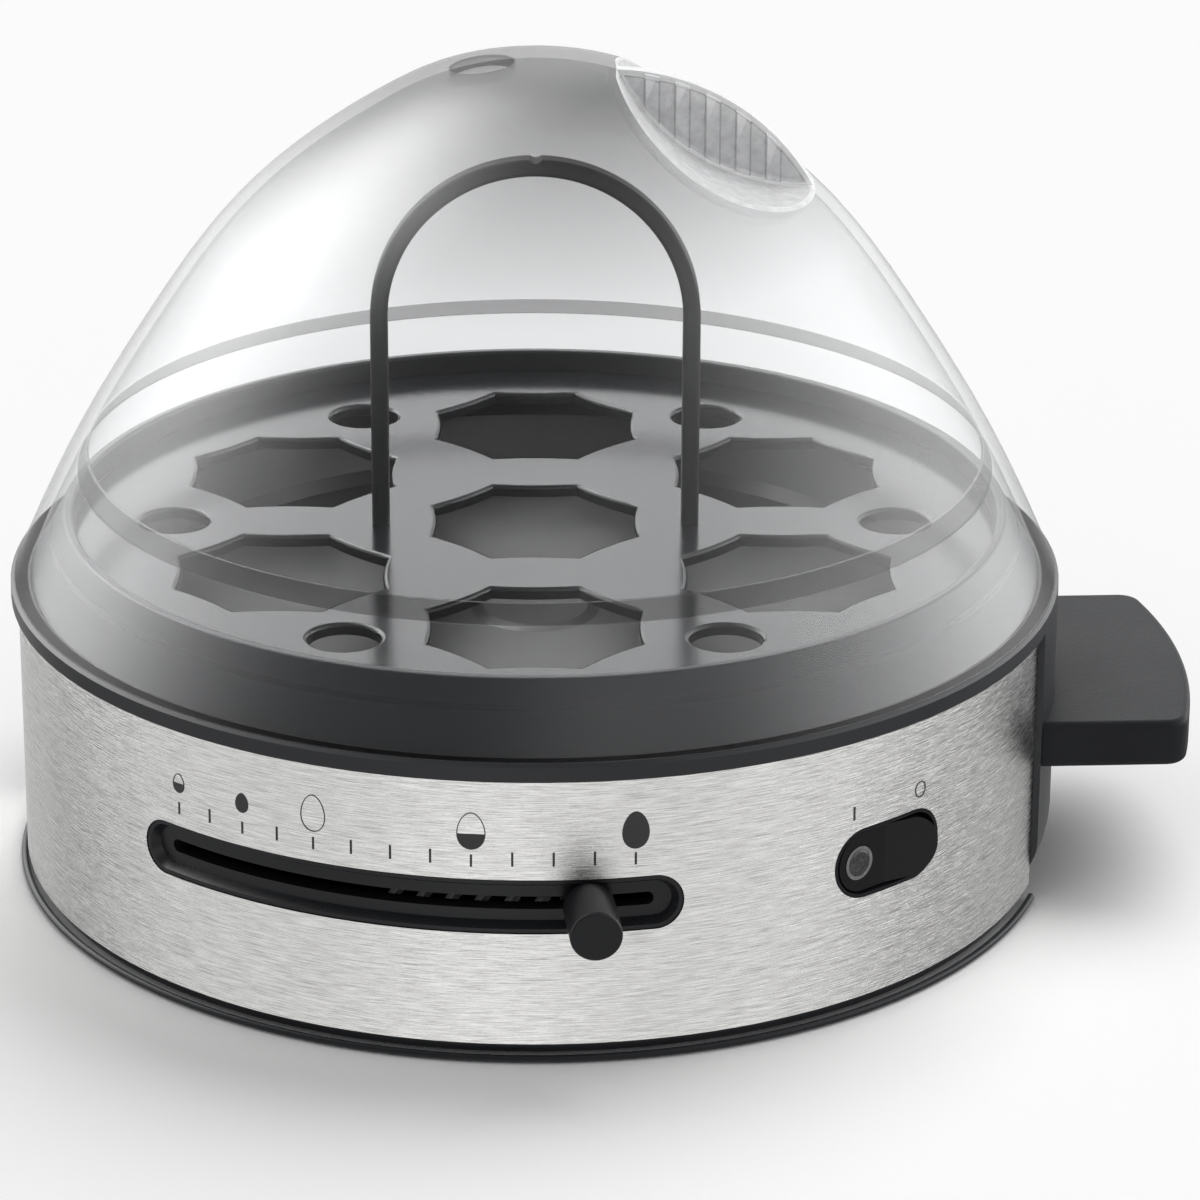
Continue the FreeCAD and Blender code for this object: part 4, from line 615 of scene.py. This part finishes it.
walls = [wall_round(bench, around_rim, 12, skirt)]
top_lines = [outline_round(bench, around_rim, 0.0, rim_circle(inner, floor))]
low_lines = [outline_round(bench, around_rim, 0.0, rim_circle(foot - wall - slope * (under - deck), under))]
for spots, around, levels, shape in (
        (egg_spots, around_egg, 5, scalloped), (small_spots, around_small, 5, plain_round),
        (slot_spots, 4, 2, slotted)):
    for group, item in ((walls, wall_round(bench, around, levels, shape)),
                        (top_lines, outline_round(bench, around, levels - 1.0, shape)),
                        (low_lines, outline_round(bench, around, 0.0, shape))):
        copies = bench.put("GeometryNodeInstanceOnPoints", {}, {"Points": spots, "Instance": item})
        group.append(bench.put("GeometryNodeRealizeInstances", {}, {"Geometry": copies}))
plates = []
for lines, height in ((top_lines, floor), (low_lines, under)):
    plate = bench.put("GeometryNodeFillCurve", {}, {"Curve": together(bench, lines)})
    plates.append(bench.put("GeometryNodeTransform", {}, {
        "Geometry": plate, "Translation": joined(bench, 0.0, 0.0, height)}))
shape = bench.put("GeometryNodeMergeByDistance", {}, {
    "Geometry": together(bench, walls + plates), "Distance": 0.02 * mm})
shape = bench.put("GeometryNodeTransform", {}, {"Geometry": shape, "Rotation": joined(bench, 0.0, 0.0, turn)})
close_tree(tree, shape, plugs["Finish"])

tray_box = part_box("egg_tray")
scalloped_tray = grown(new_piece("scalloped_tray", bpy.data.meshes.new("scalloped_tray")), tree, {
    "Foot radius": 86.69 * mm, "Rim radius": 80.9 * mm, "Wall": 2.0 * mm, "Foot height": tray_box[0][2],
    "Floor height": tray_box[1][2] - 3.9 * mm, "Rim height": tray_box[1][2], "Rim rounding": 0.6 * mm,
    "Hole radius": egg_hole_r * mm, "Hole waist": egg_waist_r * mm, "Ring radius": egg_ring_r * mm,
    "Small radius": small_hole_r * mm, "Small ring": small_ring_r * mm, "Bevel": 0.7 * mm,
    "Slot across": 26.5 * mm, "Slot width": 1.0 * mm, "Slot depth": 1.5 * mm, "Turn": tray_turn,
    "Finish": tray_finish})


def closed_up(piece, crease):
    """Points the faces of a closed piece outwards and leaves a crease only at its sharp edges."""
    shell = bmesh.new()
    shell.from_mesh(piece.data)
    bmesh.ops.remove_doubles(shell, verts=shell.verts, dist=0.005 * mm)
    bmesh.ops.recalc_face_normals(shell, faces=shell.faces)
    shell.to_mesh(piece.data)
    shell.free()
    piece.data.shade_smooth()
    piece.data.set_sharp_from_angle(angle=math.radians(crease))
    # A level face keeps its own edge, so that it stays as flat as a mirror.
    sharp = piece.data.attributes["sharp_edge"].data
    level_sides = {}
    for face in piece.data.polygons:
        for key in face.edge_keys:
            level_sides.setdefault(key, []).append(abs(face.normal.z) > 0.9999)
    for line in piece.data.edges:
        if len(set(level_sides[line.key])) == 2:
            sharp[line.index].value = True


closed_up(scalloped_tray, 32.0)
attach(scalloped_tray, "tray")
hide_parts("egg_tray")

# ARCH. The tray's carrying handle, a plain satin bow snapped into two slots.

dress(moulded("arch_black", (0.013, 0.014, 0.015), (0.022, 0.023, 0.025), 0.33, 1300.0, 0.03), "tray_handle")

# LID. Clear plastic, polished inside and out. Its fin and the finger hollows
# beside the fin are frosted. The frost follows the form of the hollows.

# The grip's own axes: s runs down along the fin, n stands square on the slope
# and beside runs across the fin. All are in millimetres from the fin's middle.
grip_turn = math.radians(15.0)
grip_middle = (30.05, 129.4)
grip_along = (0.856, -0.517)
grip_up = (0.517, 0.856)
hollow_axis_n, hollow_middle_n, hollow_r = 143.4, 30.1, 35.6
hollow_half_length, hollow_half_width, hollow_low = 19.6, 28.5, 100.0
fin_half_width, fin_half_length, crown_n = 2.1, 19.45, 5.2
first_rib, rib_pitch, last_rib = 19.4, 5.1, 4
vent_at, vent_r = -8.9, 5.45
bead_z, bead_half = 72.5, 1.9
crown_shade_z, crown_shade_depth = 111.0, 30.0
foot_top_z = 52.32

clear, bench = new_finish("clear_plastic")
place, x, y, z = place_on(bench)
across = (x * math.cos(grip_turn) + y * math.sin(grip_turn)) * 1000.0
beside = (y * math.cos(grip_turn) - x * math.sin(grip_turn)) * 1000.0
height = z * 1000.0
s = (across - grip_middle[0]) * grip_along[0] + (height - grip_middle[1]) * grip_along[1]
n = (across - grip_middle[0]) * grip_up[0] + (height - grip_middle[1]) * grip_up[1]
level_n = hollow_axis_n - ((hollow_axis_n - n) ** 2.0 + beside * beside) ** 0.5
floor_depth = (s * s + (level_n - hollow_middle_n) ** 2.0) ** 0.5 - hollow_r
dome_r = (x * x + y * y) ** 0.5 * (1000.0 / 50.0)
dome = 140.05 + 10.6780 * dome_r - 47.6549 * dome_r ** 2.0 + 13.5386 * dome_r ** 3.0
on_floor = (abs(floor_depth) < 0.35) * (abs(s) < hollow_half_length)
on_floor = on_floor * (abs(beside) < hollow_half_width) * (height > hollow_low)
on_fin = (abs(beside) < fin_half_width) * (abs(s) < fin_half_length) * (floor_depth < 0.2)
frost = (on_floor + on_fin).clamped()

# The wall is polished on both faces. Its see-through tint is painted greyer at the crown and darker along the bead's
# face and the rim of the steam hole, all painted shade.
edge = bench.put("ShaderNodeLayerWeight", {}, {"Blend": 0.5}, "Facing")
glance = 0.011 + edge * 0.055 + (edge ** 9.0) * 0.45
haze = 0.002 + (edge ** 6.0) * 0.30
# Painted shade: the see-through tint turns grey towards the crown.
crown_shade = ((height - crown_shade_z) * (1 / crown_shade_depth)).clamped() ** 1.2
# Painted shade: a darker see-through tint on the bead's face and the steam hole's rim.
to_vent = ((across - vent_at) ** 2.0 + beside ** 2.0) ** 0.5
at_vent = (abs(to_vent - vent_r) < 0.2) * (height > 130.0) * (dome - height < 0.5)
dome_in = 77.25 - (height - 72.4) * 0.53
bead = (abs(height - bead_z) < bead_half) * (dome_r * 50.0 < dome_in)
clear_film = bench.put("ShaderNodeBsdfTransparent", {}, {"Color": (0.968, 0.970, 0.972, 1.0)})
painted_shade_film = bench.put("ShaderNodeBsdfTransparent", {}, {"Color": (0.53, 0.53, 0.533, 1.0)})
painted_dark_film = bench.put("ShaderNodeBsdfTransparent", {}, {"Color": (0.46, 0.46, 0.463, 1.0)})
film = bench.put("ShaderNodeMixShader", {}, {0: crown_shade, 1: clear_film, 2: painted_shade_film})
film = bench.put("ShaderNodeMixShader", {}, {0: (bead + at_vent).clamped(), 1: film, 2: painted_dark_film})
milk = bench.put("ShaderNodeBsdfDiffuse", {}, {"Color": (0.93, 0.94, 0.95, 1.0)})
polish = bench.put("ShaderNodeBsdfGlossy", {}, {"Color": (1.0, 1.0, 1.0, 1.0), "Roughness": 0.12})
body = bench.put("ShaderNodeMixShader", {}, {0: haze, 1: film, 2: milk})
sheet = bench.put("ShaderNodeMixShader", {}, {0: glance, 1: body, 2: polish})

# Painted light on the grip. The fin is a tone darker than the hollow, a painted shade. Its ribs have painted shade on
# their sides, a painted highlight as a light drop under the crown, a thin painted shade line under the crown and a
# painted shadow at the foot, and a painted highlight line follows the crown, the foot of the fin and the hollow's
# mouth.
fin_up = 0.0 - floor_depth
crown_line = crown_n - s * s * (crown_n / 368.6)
fin_down = crown_line - n
rib_at = (across - first_rib) * (1 / rib_pitch)
rib_near = bench.sum("ROUND", rib_at)
rib_side = (rib_at - rib_near) * rib_pitch
on_ribs = (rib_near > -0.5) * (rib_near < last_rib + 0.5) * on_fin * (fin_down > 0.7)
rib_side_shade = (abs(abs(rib_side) - 1.22) < 0.16) * on_ribs
rib_body = (abs(rib_side) < 1.06) * on_ribs
drop_share = (1.0 - (fin_down - 0.7) * (1 / 4.2)).clamped()
drop_highlight = (rib_side + 1.0 < drop_share * 1.5) * rib_body * drop_share
foot_shade = (1.0 - fin_up * (1 / 2.6)).clamped() * on_fin
# The crown and mouth masks carry painted highlight lines.
crown = (fin_down < 0.62) * on_fin
under_crown_shade = (abs(fin_down - 0.78) < 0.16) * on_fin
foot_highlight = (abs(fin_up - 0.28) < 0.28) * on_fin
mouth = (abs(dome - height) < 0.26) * on_floor * (1.0 - on_fin)
mill = cloud(bench, place, 520.0, 5.0, 0.65)
# Random mill tone, with the painted highlights and painted shade added on top.
frost_and_painted_light_tone = 0.63 + (mill - 0.5) * 0.80 + on_fin * 0.08 + drop_highlight * 0.50 - foot_shade * 0.25
frost_and_painted_light_tone = frost_and_painted_light_tone + crown * 0.5 + mouth * 0.22 + foot_highlight * 0.8 - (rib_side_shade + under_crown_shade) * 0.34
frost_and_painted_light_colour = shade_between(bench, frost_and_painted_light_tone.clamped(), (0.10, 0.10, 0.105, 1.0), (0.97, 0.975, 0.98, 1.0))
rough_mill = cloud(bench, place, 1500.0, 2.0)
frosting = bench.put("ShaderNodeBump", {}, {"Strength": 0.3, "Distance": 0.0001, "Height": rough_mill})
frosted = bench.put("ShaderNodeBsdfPrincipled", {}, {
    "Base Color": frost_and_painted_light_colour, "Roughness": 0.42, "Normal": frosting})
frost_glass = bench.put("ShaderNodeBsdfTransparent", {}, {"Color": (0.90, 0.90, 0.905, 1.0)})
veil = bench.put("ShaderNodeMixShader", {}, {0: 0.50 + edge * 0.30, 1: frost_glass, 2: frosted})
lid_face = bench.put("ShaderNodeMixShader", {}, {0: frost, 1: sheet, 2: veil})

# The foot is cut square. Below its top the clear plastic is painted an opaque dark grey, a painted shade in place of
# the dark deck seen through it.
painted_dark_foot = bench.put("ShaderNodeBsdfPrincipled", {}, {"Base Color": (0.045, 0.046, 0.05, 1.0), "Roughness": 0.34})
finished(bench, bench.put("ShaderNodeMixShader", {}, {0: (height < foot_top_z) * 0.9, 1: lid_face, 2: painted_dark_foot}))
dress(clear, "lid_dome")

# STUDIO. A white table top, a broad soft lamp up on the left and the camera
# where the photograph was taken from.

floor_finish, bench = new_finish("studio_floor")
place, x, y, z = place_on(bench)
mirrored = bench.put("ShaderNodeLightPath", {}, {}, "Is Glossy Ray")
mottle = cloud(bench, place, 3.0)
pale = bench.put("ShaderNodeBsdfPrincipled", {}, {
    "Base Color": shade_between(bench, mottle, (0.975, 0.975, 0.975, 1.0), (0.99, 0.99, 0.99, 1.0)),
    "Roughness": 1.0, "Specular IOR Level": 0.0})
open_air = bench.put("ShaderNodeBsdfTransparent", {}, {})
finished(bench, bench.put("ShaderNodeMixShader", {}, {0: mirrored, 1: pale, 2: open_air}))
mesh = bpy.data.meshes.new("studio_floor")
side = 4.0
mesh.from_pydata([(-side, -side, 0), (side, -side, 0), (side, side, 0), (-side, side, 0)], [], [(0, 1, 2, 3)])
new_piece("studio_floor", mesh, floor_finish)

world = bpy.data.worlds.new("studio_air")
world.use_nodes = True
world.node_tree.nodes.clear()
bench = Reading(world.node_tree)
seen = bench.put("ShaderNodeLightPath", {}, {}, "Is Camera Ray")
mirrored = bench.put("ShaderNodeLightPath", {}, {}, "Is Glossy Ray")
aim = bench.put("ShaderNodeTexCoord", {}, {}, "Generated")


def glow(towards, tightness, strength):
    """A soft patch of light in one direction, as from a softbox."""
    length = math.sqrt(sum(part * part for part in towards))
    towards = tuple(part / length for part in towards)
    near = bench.put("ShaderNodeVectorMath", {"operation": "DOT_PRODUCT"}, {0: aim, 1: towards}, 1)
    return near.clamped() ** tightness * strength


aim_x, aim_y, aim_z = [bench.put("ShaderNodeSeparateXYZ", {}, {"Vector": aim}, axis) for axis in "XYZ"]
boxes = glow((-0.60, 0.38, 0.70), 10.0, 8.2) + glow((0.93, 0.25, 0.24), 4.0, 2.9)
boxes = boxes + glow((-0.97, 0.17, 0.17), 5.0, 2.9) + glow((0.45, -0.74, 0.50), 20.0, 1.0)
boxes = boxes + glow((-0.24, 0.89, 0.36), 26.0, 1.3) + glow((0.66, 0.75, 0.06), 9.0, 2.0)
behind = (aim_y * 0.97 - aim_x * 0.26) * 0.5 + 0.5
room = 0.32 + behind * 0.55 + boxes

# Below the edge of the table the metal mirrors a ring of pale and dark cards.
to_side = aim_x * 0.966 + aim_y * 0.259
to_front = aim_x * 0.259 - aim_y * 0.966
round_share = bench.sum("ARCTAN2", to_side, to_front) * (0.5 / math.pi) + 0.5
cards = bench.put("ShaderNodeValToRGB", {"stops": [
    (0.00, 0.75), (0.03, 0.62), (0.055, 0.50), (0.10, 0.52), (0.13, 0.36), (0.16, 0.31), (0.19, 0.29),
    (0.22, 0.43), (0.27, 0.66), (0.36, 0.70), (0.42, 0.78), (0.455, 1.0), (0.475, 1.0), (0.51, 0.86),
    (0.56, 0.74), (0.68, 0.68), (0.72, 0.48), (0.76, 0.22), (0.81, 0.30), (0.85, 0.38), (0.89, 0.36),
    (0.93, 0.26), (1.00, 0.22)]}, {0: round_share})
low = ((-0.10 - aim_z) * 9.0).clamped()
mirror_level = room * (1.0 - low) + cards * low * 1.10
level = seen * 1.0 + mirrored * mirror_level + (1.0 - (seen + mirrored).clamped()) * 0.50
air = bench.put("ShaderNodeBackground", {}, {"Color": (1.0, 1.0, 1.0, 1.0), "Strength": level})
end = world.node_tree.nodes.new("ShaderNodeOutputWorld")
world.node_tree.links.new(air.out, end.inputs["Surface"])
bpy.context.scene.world = world


def lamp(name, kind, energy, place, aim, **sizes):
    light = bpy.data.lights.new(name, kind)
    light.energy = energy
    for key, value in sizes.items():
        setattr(light, key, value)
    holder = bpy.data.objects.new(name, light)
    bpy.context.scene.collection.objects.link(holder)
    holder.location = place
    holder.rotation_euler = (Vector(aim) - Vector(place)).to_track_quat("-Z", "Y").to_euler()
    return holder


broad_lamp = lamp("broad_lamp", "SUN", 1.85, (0.32, 1.05, 1.62), (0, 0, 0.05), angle=math.radians(46))
broad_lamp.visible_glossy = False

camera_away = 0.9093
camera_up = math.radians(23.03)
camera_turn = math.radians(15.0)
aim_z = 0.0191
tip_up, tip_right = 0.026, 0.01244
target = Vector((0, 0, aim_z))
stand = target + camera_away * Vector((math.cos(camera_up) * math.sin(camera_turn),
                                       -math.cos(camera_up) * math.cos(camera_turn), math.sin(camera_up)))
look = (target - stand).normalized()
right = look.cross(Vector((0, 0, 1))).normalized()
up = right.cross(look)
look = look * math.cos(tip_up) + up * math.sin(tip_up)
look = (look * math.cos(tip_right) + right * math.sin(tip_right)).normalized()
right = look.cross(up).normalized()
up = right.cross(look)
lens = bpy.data.cameras.new("photo_camera")
lens.lens = 156.0
lens.sensor_width = 36.0
lens.clip_start = 0.05
camera = bpy.data.objects.new("photo_camera", lens)
bpy.context.scene.collection.objects.link(camera)
camera.matrix_world = Matrix((
    (right.x, up.x, -look.x, stand.x), (right.y, up.y, -look.y, stand.y),
    (right.z, up.z, -look.z, stand.z), (0, 0, 0, 1)))
bpy.context.scene.camera = camera
bpy.context.scene.view_settings.view_transform = "Standard"
